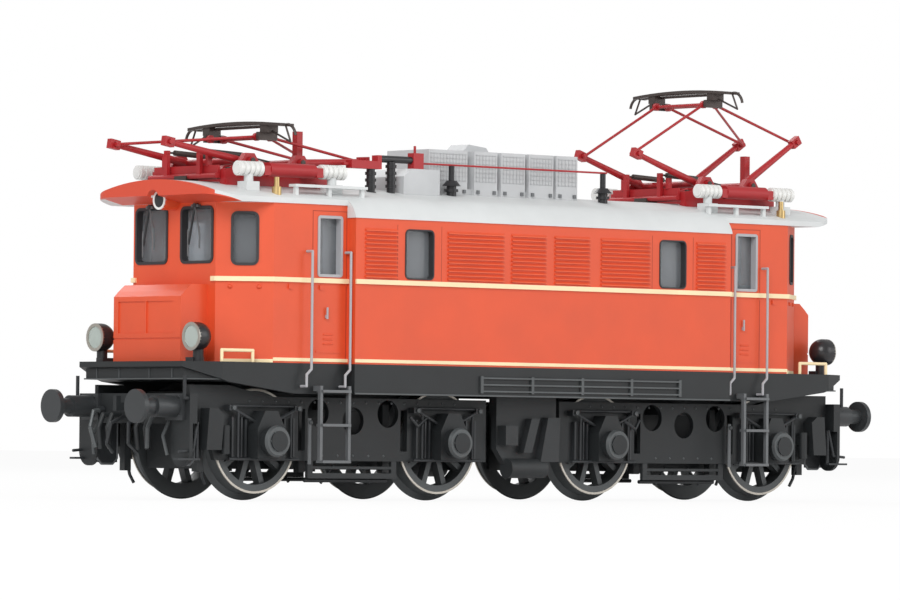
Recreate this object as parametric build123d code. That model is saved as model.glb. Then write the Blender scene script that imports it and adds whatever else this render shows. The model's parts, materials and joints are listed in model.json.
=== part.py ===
from build123d import *
import math
import os

# Scale model of a four-axle electric locomotive, in millimetres.
# X runs along the length, Y across, Z up. Z = 0 is the bottom of the wheel flanges.
# End A is at -X. End B is end A turned half round about Z.

# Machine room, which the cabs, platforms, bogies and roof gear follow
MID_HALF_LENGTH = 38.4
MID_HALF_WIDTH = 16.9
EAVES_Z = 42.0
WALL = 1.0

# Cabs
CAB_HALF_WIDTH = MID_HALF_WIDTH - 1.8
CAB_SIDE_LENGTH = 14.2
CAB_CORNER_LENGTH = 6.7
FACET_X = MID_HALF_LENGTH + CAB_SIDE_LENGTH
FRONT_X = FACET_X + CAB_CORNER_LENGTH
FRONT_HALF = CAB_HALF_WIDTH - 5.3
CAB_TOP_Z = 43.8

# Underframe
SILL_TOP = 20.3
SILL_BOTTOM = 15.8
FLOOR_THICK = 1.4
SKIRT_THICK = 1.0
PLATFORM_X = FRONT_X + 8.0
PLATFORM_HALF = CAB_HALF_WIDTH - 2.8
PLATFORM_TAPER_X = FRONT_X + 2.7
PLATFORM_EDGE = 0.8
BELLY_X = FRONT_X - 10.8
BELLY_END_X = FRONT_X + 1.7
BELLY_END_Z = 17.4

# Running gear
FLANGE_DEPTH = 1.0
WHEEL_DIA = 15.5
WHEEL_WIDTH = 2.8
WHEEL_BACK = 7.15
FLANGE_WIDTH = 0.7
TYRE_DEPTH = 1.3
HUB_RADIUS = 2.2
SPOKE_COUNT = 10
AXLE_RADIUS = 1.5
JOURNAL_RADIUS = 1.0
JOURNAL_END = 13.4
BEARING_CLEARANCE = 0.05
PIVOT_X = MID_HALF_LENGTH - 4.5
WHEELBASE = 35.6
HALF_BASE = WHEELBASE / 2
AXLE_Z = FLANGE_DEPTH + WHEEL_DIA / 2

# Bogie
SIDE_PLATE_Y = 10.5
SIDE_PLATE_THICK = 0.8
SIDE_PLATE_TOP = 15.3
SIDE_PLATE_BOTTOM = 5.9
SIDE_PLATE_RISE = 1.6
SIDE_PLATE_OUTER = WHEELBASE / 2 + 8.6
SIDE_PLATE_INNER = PIVOT_X - 7.5
HOLE_RADIUS = 2.05
SLOT_X = (9.3, 10.6)
SLOT_Z = (7.4, 13.6)
BEAM_X = WHEELBASE / 2 + 13.4
BEAM_THICK = 1.4
BEAM_HALF = 13.2
BEAM_TOP = 15.6
BEAM_BOTTOM = 11.2
CHASSIS_HALF = WHEELBASE / 2 + 7.2
CHASSIS_HALF_Y = 6.6
CHASSIS_Z = (4.6, 16.0)
AXLEBOX_Y = 15.4
AXLEBOX_RADIUS = 2.15
PIVOT_PIN_RADIUS = 2.0
SPINE_HALF_Y = 2.5
SPINE_Z = 13.6
BRAKE_Y = 8.6
GUARD_BAR_Z = (3.3, 4.1)
RAIL_GUARD_Y = (8.8, 13.2)
RAIL_GUARD_BOTTOM = 4.9

# Buffers and coupling
BUFFER_FACE_X = PIVOT_X + BEAM_X + BEAM_THICK + 7.75
BUFFER_Y = 10.06
BUFFER_Z = 13.67
BUFFER_HEAD_RADIUS = 2.45
BUFFER_HEAD_THICK = 0.8
BUFFER_SHANK_RADIUS = 1.15
BUFFER_SLEEVE_RADIUS = 1.6
BUFFER_SLEEVE_LENGTH = 4.4

# Hoods
HOOD_X = FRONT_X + 5.0
HOOD_HALF = FRONT_HALF - 1.8
HOOD_TOP_Z = 30.7
HOOD_BACK_Z = 31.7

# Recessed panels of end B's hood: start and end along Y
HOOD_PANELS = [(-HOOD_HALF + 1.1, -0.5), (-0.2, HOOD_HALF - 1.8)]
HOOD_PANEL_Z = (24.5, 29.2)
HOOD_GROOVE_Z = (23.55, 23.8)

# Raised bands
STRIPE_Z = 32.2
STRIPE_HEIGHT = 0.7
STRIPE_PROUD = 0.35
STRIPE_WRAP = 0.8
LOWER_STRIPE_HEIGHT = 0.5
LOWER_STRIPE_PROUD = 0.15
PANE_THICK = 0.5

# Louvre panels of the near wall: start and end along X
LOUVRE_PANELS = [
    (-MID_HALF_LENGTH + 1.8, -MID_HALF_LENGTH + 8.0),
    (-MID_HALF_LENGTH + 18.0, -9.2),
    (-7.6, -0.6),
    (1.2, 8.4),
    (10.8, MID_HALF_LENGTH - 17.4),
    (MID_HALF_LENGTH - 7.4, MID_HALF_LENGTH - 1.2),
]
LOUVRE_BOTTOM_Z = 33.2
LOUVRE_PITCH = 0.63
LOUVRE_COUNT = 12
LOUVRE_PROUD = 0.35
LOUVRE_HEIGHT = 0.4

# Windows of the near wall: start and end along X
MID_WINDOWS = [
    (-MID_HALF_LENGTH + 9.7, -MID_HALF_LENGTH + 15.2),
    (MID_HALF_LENGTH - 15.2, MID_HALF_LENGTH - 9.7),
]
MID_WINDOW_Z = (33.2, 40.5)
DOOR_WINDOWS = [
    (-MID_HALF_LENGTH - 5.6, -MID_HALF_LENGTH - 1.4),
    (MID_HALF_LENGTH + 3.0, MID_HALF_LENGTH + 7.2),
]
DOOR_WINDOW_Z = (33.4, 41.9)
FACET_WINDOW_WIDTH = 3.6
FACET_WINDOW_Z = (34.8, 42.2)
FRONT_WINDOW_Y = (1.8, FRONT_HALF - 0.8)
FRONT_WINDOW_Z = (35.1, 43.0)
WINDOW_CORNER = 0.7
DOOR_WINDOW_CORNER = 0.2

# Handrails and ladders of the near side, beside the doors: places along X
HANDRAILS = [-MID_HALF_LENGTH - 7.9, -MID_HALF_LENGTH - 0.5, MID_HALF_LENGTH + 1.5, MID_HALF_LENGTH + 8.6]
HANDRAIL_Y = CAB_HALF_WIDTH + 1.3
HANDRAIL_TOP = 36.8
LADDERS = [
    (-MID_HALF_LENGTH - 6.2, -MID_HALF_LENGTH - 0.8),
    (MID_HALF_LENGTH + 3.5, MID_HALF_LENGTH + 8.4),
]
LADDER_Y = CAB_HALF_WIDTH + 1.4
LADDER_STEPS = [5.6, 11.0, 16.0]

# Roof
ROOF_CROWN_Z = 47.2
ROOF_SHOULDER_Y = MID_HALF_WIDTH - 3.4
ROOF_SHOULDER_Z = 45.4
ROOF_MID_Y = MID_HALF_WIDTH - 1.0
ROOF_MID_Z = 44.1
ROOF_EDGE_Y = MID_HALF_WIDTH + 0.2
ROOF_THICK = 0.9
ROOF_CAB_HALF = CAB_HALF_WIDTH + 0.2
ROOF_LAP = 0.2
VISOR_X = FRONT_X + 4.2
VISOR_CORNER = 4.0
VISOR_TIP_Z = 45.2

# Inside
MOTOR_HALF_LENGTH = 22.0
MOTOR_HALF_WIDTH = 8.0
MOTOR_TOP_Z = 38.0
CORRIDOR_Y = MID_HALF_WIDTH - 5.4
CORRIDOR_HALF = MID_HALF_LENGTH - 5.4
CORRIDOR_THICK = 0.8

# Lamps
LAMP_X = FRONT_X + 5.7
LAMP_Y = PLATFORM_HALF - 0.8
LAMP_Z = 23.94
LAMP_RADIUS = 2.1
LAMP_LENGTH = 1.0
LENS_RADIUS = 1.7
LENS_THICK = 0.5
TOP_LAMP_FACE_X = FRONT_X + 2.9
TOP_LAMP_Z = 44.2
TOP_LAMP_RADIUS = 1.45

# Roof gear: places along X stretch with the machine room
ROW_STRETCH = MID_HALF_LENGTH / 38.4
RESISTOR_BOXES = [(-16.3, -8.5), (-7.1, -2.4), (-1.6, 3.3), (4.1, 9.2), (9.8, 14.2)]
RESISTOR_TOP = 53.4
CONDUCTOR_Y = -(MID_HALF_WIDTH - 7.7)
CONDUCTOR_Z = 51.0
CONDUCTOR_RADIUS = 0.15
CONDUCTOR_POSTS = [-13.1, 18.1]
RESISTOR_FRONT = CONDUCTOR_Y + 1.6
WALKWAY_Y = MID_HALF_WIDTH - 2.7
WALKWAY_WIDTH = 1.6
WALKWAY_Z = 46.3

# Pantographs
PANTO_X = (-(MID_HALF_LENGTH + 8.8), MID_HALF_LENGTH + 7.4)
INSULATOR_Y = MID_HALF_WIDTH - 5.0
FRAME_Y = (INSULATOR_Y - 4.3, INSULATOR_Y - 3.3)
SHAFT_END = FRAME_Y[1] + 0.6
ARM_Y = FRAME_Y[0] - 1.1
UPPER_ARM_Y = ARM_Y - 1.0
TUBE_HALF = UPPER_ARM_Y - 0.25
POST_Y = -0.54 * ARM_Y
BASE_PIN_X = 4.8
BASE_PIN_Z = 50.2
UPPER_ARM = 17.55
LOWER_ARM = UPPER_ARM - 3.55
HEAD_PIN_X = 1.3
LOWERED = (9.4, 3.3)
RAISED = (18.0, 32.5)
SHAFT_RADIUS = 0.55
KNEE_BLOCK = (1.8, 1.0, 1.4)
KNEE_PIN_RADIUS = 0.35
LOWER_ARM_RADII = (0.6, 0.42)
UPPER_ARM_RADIUS = 0.22
HEAD_PIN_RADIUS = 0.25
HINGE_CLEARANCE = 0.05
OPEN_PIN_CLEARANCE = 0.15

# Pantograph base
FRAME_OFFSET = 0.2
FRAME_HALF_X = 9.8
FRAME_BOTTOM = 45.8
FRAME_TOP = 48.8
POST_X = 8.4
POST_WIDTH = 1.1
POST_TOP = 55.2
INSULATOR_X = (5.6, 10.3)
INSULATOR_RADIUS = 0.85
INSULATOR_RIB_RADIUS = 1.1
INSULATOR_Z = 48.8
PEDESTAL_TOP = 46.9

# Collector head
STRIP_CROWN = 2.4
STRIP_SAG = 0.55
STRIP_HALF = 11.0
STRIP_OFFSET = 0.9
STRIP_WIDTH = 0.9
STRIP_THICK = 0.45
HORN_Y = 13.0
HORN_RADIUS = 0.22


def block(x0, x1, y0, y1, z0, z1):
    """Box between two corners."""
    return Pos((x0 + x1) / 2, (y0 + y1) / 2, (z0 + z1) / 2) * Box(x1 - x0, y1 - y0, z1 - z0)


def fuse(shapes):
    """All the given shapes as one part."""
    return Part() + list(shapes)


def rod(start, end, radius):
    """Round bar between two points."""
    axis = Vector(*end) - Vector(*start)
    plane = Plane(origin=Vector(*start), z_dir=axis)
    return extrude(plane * Circle(radius), amount=axis.length)


def rod_x(x0, x1, y, z, radius):
    return rod((x0, y, z), (x1, y, z), radius)


def rod_y(x, y0, y1, z, radius):
    return rod((x, y0, z), (x, y1, z), radius)


def rod_z(x, y, z0, z1, radius):
    return rod((x, y, z0), (x, y, z1), radius)


def bent_rod(points, radius):
    """Round bar through several points, with a ball at each bend."""
    bars = [rod(p, q, radius) for p, q in zip(points, points[1:])]
    balls = [Pos(*p) * Sphere(radius) for p in points[1:-1]]
    return fuse(bars + balls)


def plate_xz(points, y0, y1):
    """Outline in the XZ plane, thick along Y."""
    face = make_face(Polyline(*[(x, y0, z) for x, z in points], close=True))
    return extrude(face, amount=y1 - y0, dir=(0, 1, 0))


def plate_xy(points, z0, z1):
    """Outline in the XY plane, thick along Z."""
    face = make_face(Polyline(*[(x, y, z0) for x, y in points], close=True))
    return extrude(face, amount=z1 - z0, dir=(0, 0, 1))


def plate_yz(points, x0, x1):
    """Outline in the YZ plane, thick along X."""
    face = make_face(Polyline(*[(x0, y, z) for y, z in points], close=True))
    return extrude(face, amount=x1 - x0, dir=(1, 0, 0))


def both_sides(shape):
    """A shape and its mirror image across the length."""
    return [shape, mirror(shape, about=Plane.XZ)]


def turned(shape):
    """End B's copy of a piece of end A."""
    return Rot(0, 0, 180) * shape


def tapered_bar(start, end, radius0, radius1):
    """Round bar that narrows from one radius to the other."""
    axis = Vector(*end) - Vector(*start)
    plane = Plane(origin=Vector(*start), z_dir=axis)
    return plane * (Pos(0, 0, axis.length / 2) * Cone(radius0, radius1, axis.length))


# Body shell

def cab_plan(inset):
    """Plan of one cab from the middle of the body to the front, end B."""
    run = FRONT_X - FACET_X
    rise = CAB_HALF_WIDTH - FRONT_HALF
    facet = math.hypot(run, rise)
    side = CAB_HALF_WIDTH - inset
    front = FRONT_X - inset
    along = inset * (facet - rise) / run
    across = inset * (facet - run) / rise
    corner_x = FACET_X - inset * (facet - run) / rise
    corner_y = FRONT_HALF - along
    return [(0, side), (corner_x, side), (front, corner_y), (front, -corner_y), (corner_x, -side), (0, -side)]


def window_cut(plane, width, height, corner):
    """Rounded opening through a wall, centred on a plane that looks outwards."""
    face = plane * RectangleRounded(width, height, corner)
    return extrude(face, amount=3 * WALL, both=True)


def side_window_planes():
    """Plane, width, height and corner radius of each window of the side walls."""
    rows = [
        (MID_WINDOWS, MID_WINDOW_Z, MID_HALF_WIDTH, WINDOW_CORNER),
        (DOOR_WINDOWS, DOOR_WINDOW_Z, CAB_HALF_WIDTH, DOOR_WINDOW_CORNER),
    ]
    windows = []
    for spans, heights, half_width, corner in rows:
        middle = (heights[0] + heights[1]) / 2
        tall = heights[1] - heights[0]
        for x0, x1 in spans:
            near = Plane(origin=((x0 + x1) / 2, -half_width, middle), x_dir=(1, 0, 0), z_dir=(0, -1, 0))
            far = Plane(origin=(-(x0 + x1) / 2, half_width, middle), x_dir=(-1, 0, 0), z_dir=(0, 1, 0))
            windows += [(near, x1 - x0, tall, corner), (far, x1 - x0, tall, corner)]
    return windows


def end_window_planes():
    """Plane, width, height and corner radius of each window of end B's front and corners."""
    middle = sum(FACET_WINDOW_Z) / 2
    run = FRONT_X - FACET_X
    rise = CAB_HALF_WIDTH - FRONT_HALF
    windows = []
    for side in (-1, 1):
        centre = ((FACET_X + FRONT_X) / 2, side * (CAB_HALF_WIDTH + FRONT_HALF) / 2, middle)
        corner = Plane(origin=centre, x_dir=(-run, side * rise, 0), z_dir=(rise, side * run, 0))
        windows.append((corner, FACET_WINDOW_WIDTH, FACET_WINDOW_Z[1] - FACET_WINDOW_Z[0], WINDOW_CORNER))
        y = side * sum(FRONT_WINDOW_Y) / 2
        front = Plane(origin=(FRONT_X, y, sum(FRONT_WINDOW_Z) / 2), x_dir=(0, 1, 0), z_dir=(1, 0, 0))
        width = FRONT_WINDOW_Y[1] - FRONT_WINDOW_Y[0]
        windows.append((front, width, FRONT_WINDOW_Z[1] - FRONT_WINDOW_Z[0], WINDOW_CORNER))
    return windows


def hood():
    """Low equipment hood in front of end B, open towards the cab."""
    profile = [(FRONT_X, SILL_TOP), (HOOD_X, SILL_TOP), (HOOD_X, HOOD_TOP_Z - 0.8)]
    profile += [(HOOD_X - 0.8, HOOD_TOP_Z), (HOOD_X - 2.0, HOOD_BACK_Z), (FRONT_X, HOOD_BACK_Z)]
    outer = plate_xz(profile, -HOOD_HALF, HOOD_HALF)
    inner = block(FRONT_X, HOOD_X - WALL, -HOOD_HALF + WALL, HOOD_HALF - WALL, SILL_TOP, HOOD_TOP_Z - 1.4)
    cuts = [block(HOOD_X - 0.2, HOOD_X + 1, y0, y1, *HOOD_PANEL_Z) for y0, y1 in HOOD_PANELS]
    cuts.append(block(HOOD_X - 0.15, HOOD_X + 1, -HOOD_HALF, HOOD_HALF, *HOOD_GROOVE_Z))
    return outer - inner - fuse(cuts)


def louvres():
    """Slats of the ventilation panels on both side walls."""
    slats = []
    for x0, x1 in LOUVRE_PANELS:
        for row in range(LOUVRE_COUNT):
            z = LOUVRE_BOTTOM_Z + row * LOUVRE_PITCH
            wall = -MID_HALF_WIDTH
            outline = [(wall + 0.1, z), (wall - LOUVRE_PROUD, z), (wall, z + LOUVRE_HEIGHT), (wall + 0.1, z + LOUVRE_HEIGHT)]
            slat = plate_yz(outline, x0, x1)
            slats += [slat, turned(slat)]
    return slats


def body_shell():
    """Walls of the machine room and both cabs, with the hoods, open above and below."""
    mid = block(-MID_HALF_LENGTH, MID_HALF_LENGTH, -MID_HALF_WIDTH, MID_HALF_WIDTH, SILL_TOP, EAVES_Z)
    room_half = MID_HALF_LENGTH - WALL
    room_side = MID_HALF_WIDTH - WALL
    room = block(-room_half, room_half, -room_side, room_side, SILL_TOP, EAVES_Z)
    cab = plate_xy(cab_plan(0), SILL_TOP, CAB_TOP_Z) - block(0, MID_HALF_LENGTH + ROOF_LAP, -20, 20, EAVES_Z, 50)
    cab_room = plate_xy(cab_plan(WALL), SILL_TOP, CAB_TOP_Z)
    ends = fuse([cab, hood()])
    end_rooms = cab_room
    shell = fuse([mid, ends, turned(ends)]) - fuse([room, end_rooms, turned(end_rooms)])
    cuts = [window_cut(*row) for row in side_window_planes()]
    end_cuts = fuse([window_cut(*row) for row in end_window_planes()])
    shell = shell - fuse(cuts) - end_cuts - turned(end_cuts)
    return fuse([shell] + louvres())


def side_band(z0, height, proud):
    """One raised band along both side walls of the machine room and the cabs."""
    band = [block(-MID_HALF_LENGTH, MID_HALF_LENGTH, -MID_HALF_WIDTH - proud, -MID_HALF_WIDTH, z0, z0 + height)]
    for x0, x1 in ((-FACET_X, -MID_HALF_LENGTH), (MID_HALF_LENGTH, FACET_X)):
        band.append(block(x0, x1, -CAB_HALF_WIDTH - proud, -CAB_HALF_WIDTH, z0, z0 + height))
    near = fuse(band)
    return fuse([near, turned(near)])


def corner_band(z0, height, proud):
    """The raised band over end B's slanted corners, turned a little onto the front."""
    ring = plate_xy(cab_plan(-proud), z0, z0 + height) - plate_xy(cab_plan(0), z0, z0 + height)
    middle = FRONT_HALF - STRIPE_WRAP
    return ring - block(0, FACET_X, -20, 20, 0, 60) - block(0, FRONT_X + 5, -middle, middle, 0, 60)


def waist_rails():
    """Raised cream bands: the waist rail round the cabs and the sill band."""
    waist = side_band(STRIPE_Z, STRIPE_HEIGHT, STRIPE_PROUD)
    sill = side_band(SILL_TOP + 0.25, LOWER_STRIPE_HEIGHT, LOWER_STRIPE_PROUD)
    corner = corner_band(STRIPE_Z, STRIPE_HEIGHT, STRIPE_PROUD)
    return fuse([waist, sill, corner, turned(corner)])


def glazing():
    """Panes that close the window openings from inside."""
    panes = []
    lap = 0.5
    for plane, width, height, corner in side_window_planes():
        pane = plane * Pos(0, 0, -WALL - PANE_THICK / 2) * Box(width + lap, height + lap, PANE_THICK)
        panes.append(pane)
    for plane, width, height, corner in end_window_planes():
        pane = plane * Pos(0, 0, -WALL - PANE_THICK / 2) * Box(width + lap / 2, height + lap / 2, PANE_THICK)
        panes += [pane, turned(pane)]
    return fuse(panes)


# Roof

def roof_profile(inset, x):
    """Cross-section of the roof at a place along X, shrunk by an inset."""
    crown = ROOF_CROWN_Z - inset
    shoulder_y = ROOF_SHOULDER_Y - inset * 0.4
    shoulder_z = ROOF_SHOULDER_Z - inset
    middle_y = ROOF_MID_Y - inset * 0.8
    middle_z = ROOF_MID_Z - inset * 0.8
    edge = ROOF_EDGE_Y - inset * 1.3
    top = ThreePointArc((x, -shoulder_y, shoulder_z), (x, 0, crown), (x, shoulder_y, shoulder_z))
    right = ThreePointArc((x, shoulder_y, shoulder_z), (x, middle_y, middle_z), (x, edge, EAVES_Z))
    bottom = Line((x, edge, EAVES_Z), (x, -edge, EAVES_Z))
    left = ThreePointArc((x, -edge, EAVES_Z), (x, -middle_y, middle_z), (x, -shoulder_y, shoulder_z))
    return make_face([top, right, bottom, left])


def roof_bar(inset, x0, x1):
    return extrude(roof_profile(inset, x0), amount=x1 - x0, dir=(1, 0, 0))


def roof():
    """Light grey roof: a wide shell over the machine room and narrower ones over the cabs."""
    mid_half = MID_HALF_LENGTH + ROOF_LAP
    mid = roof_bar(0, -mid_half, mid_half)
    cab_bar = roof_bar(0, -FRONT_X, FRONT_X)
    cab = cab_bar & block(-FRONT_X, FRONT_X, -ROOF_CAB_HALF, ROOF_CAB_HALF, CAB_TOP_Z, 60)
    room = roof_bar(ROOF_THICK, -mid_half + ROOF_THICK, mid_half - ROOF_THICK)
    cab_room_bar = roof_bar(ROOF_THICK, -FRONT_X + WALL, FRONT_X - WALL)
    cab_side = CAB_HALF_WIDTH - WALL - 3.5
    cab_room = cab_room_bar & block(-FRONT_X, FRONT_X, -cab_side, cab_side, EAVES_Z, 60)
    return fuse([mid, cab]) - room - cab_room


def visor():
    """Red eyebrow over the front windows of end B, a wedge under the curved roof line."""
    bar = roof_bar(0, FRONT_X, VISOR_X)
    plan = Pos(VISOR_X - 10, 0, 50) * Box(20, 2 * ROOF_CAB_HALF, 30)
    edges = plan.edges().filter_by(Axis.Z).sort_by(Axis.X)[-2:]
    plan = fillet(edges, VISOR_CORNER)
    wedge = plate_xz([(FRONT_X, CAB_TOP_Z), (VISOR_X, VISOR_TIP_Z - 0.4), (VISOR_X, 60), (FRONT_X, 60)], -20, 20)
    housing = rod_x(FRONT_X, TOP_LAMP_FACE_X + 2, 0, TOP_LAMP_Z, TOP_LAMP_RADIUS + 0.01)
    return (bar & plan & wedge) - housing


# Underframe

def underframe():
    """Black frame: floor plate, deep side skirts and end platforms."""
    mid = [(MID_HALF_LENGTH, MID_HALF_WIDTH), (MID_HALF_LENGTH, -MID_HALF_WIDTH)]
    mid += [(-MID_HALF_LENGTH, -MID_HALF_WIDTH), (-MID_HALF_LENGTH, MID_HALF_WIDTH)]
    full = [(PLATFORM_X, PLATFORM_HALF), (PLATFORM_X, -PLATFORM_HALF), (PLATFORM_TAPER_X, -CAB_HALF_WIDTH)]
    full += [(-PLATFORM_TAPER_X, -CAB_HALF_WIDTH), (-PLATFORM_X, -PLATFORM_HALF), (-PLATFORM_X, PLATFORM_HALF)]
    full += [(-PLATFORM_TAPER_X, CAB_HALF_WIDTH), (PLATFORM_TAPER_X, CAB_HALF_WIDTH)]
    plan = fuse([plate_xy(mid, SILL_BOTTOM, SILL_TOP), plate_xy(full, SILL_BOTTOM, SILL_TOP)])
    edge_z = SILL_TOP - PLATFORM_EDGE
    half = [(PLATFORM_X, SILL_TOP), (PLATFORM_X, edge_z), (BELLY_END_X, BELLY_END_Z), (BELLY_X, SILL_BOTTOM)]
    profile = half + [(-x, z) for x, z in reversed(half)]
    belly = plate_xz(profile, -20, 20)
    floor_z = SILL_TOP - FLOOR_THICK
    room = block(-MID_HALF_LENGTH + 1, MID_HALF_LENGTH - 1, -MID_HALF_WIDTH + SKIRT_THICK, MID_HALF_WIDTH - SKIRT_THICK, 0, floor_z)
    end_side = CAB_HALF_WIDTH - SKIRT_THICK
    end_room = block(-BELLY_END_X, BELLY_END_X, -end_side, end_side, 0, floor_z)
    sockets = [rod_z(x, 0, floor_z - 1, SILL_TOP, PIVOT_PIN_RADIUS + BEARING_CLEARANCE) for x in (-PIVOT_X, PIVOT_X)]
    return (plan & belly) - room - end_room - fuse(sockets)


def pipe_racks():
    """Recessed-looking cable rack along each skirt: frame, posts and three thin pipes."""
    wall = -MID_HALF_WIDTH
    pieces = []
    bottom = SILL_BOTTOM + 0.5
    start = -MID_HALF_LENGTH + 24.9
    end = MID_HALF_LENGTH - 10.9
    for z in (bottom + 0.3, bottom + 1.3, bottom + 2.3):
        pieces.append(block(start, end, wall - 0.35, wall, z - 0.12, z + 0.12))
    for index in range(5):
        x = start + (end - start) * index / 4
        pieces.append(block(x - 0.25, x + 0.25, wall - 0.35, wall, bottom, bottom + 2.6))
    rack = fuse(pieces)
    return fuse([rack, turned(rack)])


def underfloor_gear():
    """Equipment hung under the floor between the bogies: carrier, box, slanted plates and a tank."""
    top = SILL_TOP - FLOOR_THICK
    carrier = [(-6.0, top), (-6.0, 8.0), (-4.0, 5.4), (3.2, 5.4), (6.2, 8.0), (6.2, top)]
    pieces = [plate_xz(carrier, -12.0, -10.8)]
    pieces.append(block(-5.6, -3.1, -13.8, -12.0, 8.5, 11.5))
    pieces.append(plate_xz([(0.0, 12.6), (1.7, 12.6), (0.1, 7.4), (-1.6, 7.4)], -13.4, -12.0))
    pieces.append(plate_xz([(3.4, 12.8), (5.9, 12.8), (5.6, 6.0), (1.9, 6.0)], -13.4, -12.0))
    pieces.append(rod_x(-4.1, 3.3, -12.2, 5.0, 1.5))
    side = fuse(pieces)
    return fuse([side, turned(side)])


# Bogie of end A, pivot at X = 0, outer end towards -X

def wheelset():
    """Two spoked wheels on their axle, centred on X = 0."""
    tread = WHEEL_DIA / 2
    outer = WHEEL_BACK + WHEEL_WIDTH
    half = [
        (WHEEL_BACK, tread - TYRE_DEPTH),
        (WHEEL_BACK, tread + FLANGE_DEPTH - 0.2),
        (WHEEL_BACK + 0.2, tread + FLANGE_DEPTH),
        (WHEEL_BACK + FLANGE_WIDTH, tread + 0.1),
        (outer, tread - 0.15),
        (outer, tread - TYRE_DEPTH),
    ]
    ring_face = make_face(Polyline(*[(0, y, AXLE_Z + r) for y, r in half], close=True))
    ring = revolve(ring_face, axis=Axis((0, 0, AXLE_Z), (0, 1, 0)))
    hub = rod_y(0, WHEEL_BACK, outer + 0.2, AXLE_Z, HUB_RADIUS)
    spokes = []
    reach = tread - TYRE_DEPTH + 0.3
    for index in range(SPOKE_COUNT):
        spoke = block(HUB_RADIUS - 0.4, reach, WHEEL_BACK + 0.7, outer - 0.7, -0.45, 0.45)
        spokes.append(Pos(0, 0, AXLE_Z) * Rot(0, 360 * index / SPOKE_COUNT, 0) * spoke)
    wheel = fuse([ring, hub] + spokes)
    axle = rod_y(0, -WHEEL_BACK, WHEEL_BACK, AXLE_Z, AXLE_RADIUS)
    journal = rod_y(0, -JOURNAL_END, JOURNAL_END, AXLE_Z, JOURNAL_RADIUS)
    return fuse(both_sides(wheel) + [axle, journal])


def axlebox(x):
    """Axle guard, round bearing cover and spring housing on the near side plate."""
    inner = -SIDE_PLATE_Y - SIDE_PLATE_THICK
    guard = [(x - 2.6, 6.2), (x + 2.6, 6.2), (x + 2.6, 10.6), (x + 1.2, 13.2), (x - 1.2, 13.2), (x - 2.6, 10.6)]
    pieces = [plate_xz(guard, inner - 2.6, inner)]
    pieces.append(rod_y(x, -AXLEBOX_Y, inner - 2.6, AXLE_Z, AXLEBOX_RADIUS))
    pieces.append(rod_y(x, -AXLEBOX_Y - 0.5, -AXLEBOX_Y, AXLE_Z, AXLEBOX_RADIUS * 0.7))
    box = fuse(pieces)
    bore = rod_y(x, -JOURNAL_END - 0.3, 0, AXLE_Z, JOURNAL_RADIUS + BEARING_CLEARANCE)
    return box, bore


def side_plate():
    """Near side plate of the bogie frame with its lightening holes and slots."""
    y0 = -SIDE_PLATE_Y - SIDE_PLATE_THICK
    y1 = -SIDE_PLATE_Y
    outline = [(-BEAM_X, BEAM_BOTTOM), (-SIDE_PLATE_OUTER - 2, BEAM_BOTTOM), (-SIDE_PLATE_OUTER, SIDE_PLATE_BOTTOM)]
    outline += [(SIDE_PLATE_INNER, SIDE_PLATE_BOTTOM), (SIDE_PLATE_INNER, SIDE_PLATE_TOP)]
    outline += [(-HALF_BASE + 2, SIDE_PLATE_TOP), (-HALF_BASE - 6, SIDE_PLATE_TOP + SIDE_PLATE_RISE)]
    outline += [(-BEAM_X, SIDE_PLATE_TOP + SIDE_PLATE_RISE)]
    plate = plate_xz(outline, y0, y1)
    cuts = [rod_y(x, y0 - 1, y1 + 1, z, HOLE_RADIUS) for x, z in ((-6.8, 13.0), (0, 11.9), (6.8, 13.0))]
    for side in (-1, 1):
        x0, x1 = sorted((side * SLOT_X[0], side * SLOT_X[1]))
        cuts.append(block(x0, x1, y0 - 1, y1 + 1, *SLOT_Z))
    return plate - fuse(cuts)


def rail_guard():
    """Plate with a rounded foot under the near end of the buffer beam."""
    y0, y1 = RAIL_GUARD_Y
    radius = (y1 - y0) / 2
    plate = block(-BEAM_X - BEAM_THICK, -BEAM_X - 0.8, -y1, -y0, RAIL_GUARD_BOTTOM + radius, BEAM_BOTTOM)
    foot = rod_x(-BEAM_X - BEAM_THICK, -BEAM_X - 0.8, -(y0 + y1) / 2, RAIL_GUARD_BOTTOM + radius, radius)
    return fuse([plate, foot])


def sand_gear():
    """Sand box with a slanted top and the small cylinder behind it, on the near side plate."""
    wall = -SIDE_PLATE_Y - SIDE_PLATE_THICK
    x = 1.7 - BEAM_X
    box = plate_xz([(x, 7.4), (x + 2.8, 7.4), (x + 3.3, 12.6), (x + 2.1, 13.5), (x + 0.5, 13.5)], wall - 2.0, wall)
    x = 1.2 - SIDE_PLATE_OUTER
    cylinder = rod_z(x, wall - 1.0, 6.8, 11.0, 0.7)
    seat = block(x - 0.5, x + 0.5, wall - 1.0, wall, 9.0, 10.4)
    return fuse([box, cylinder, seat])


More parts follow.
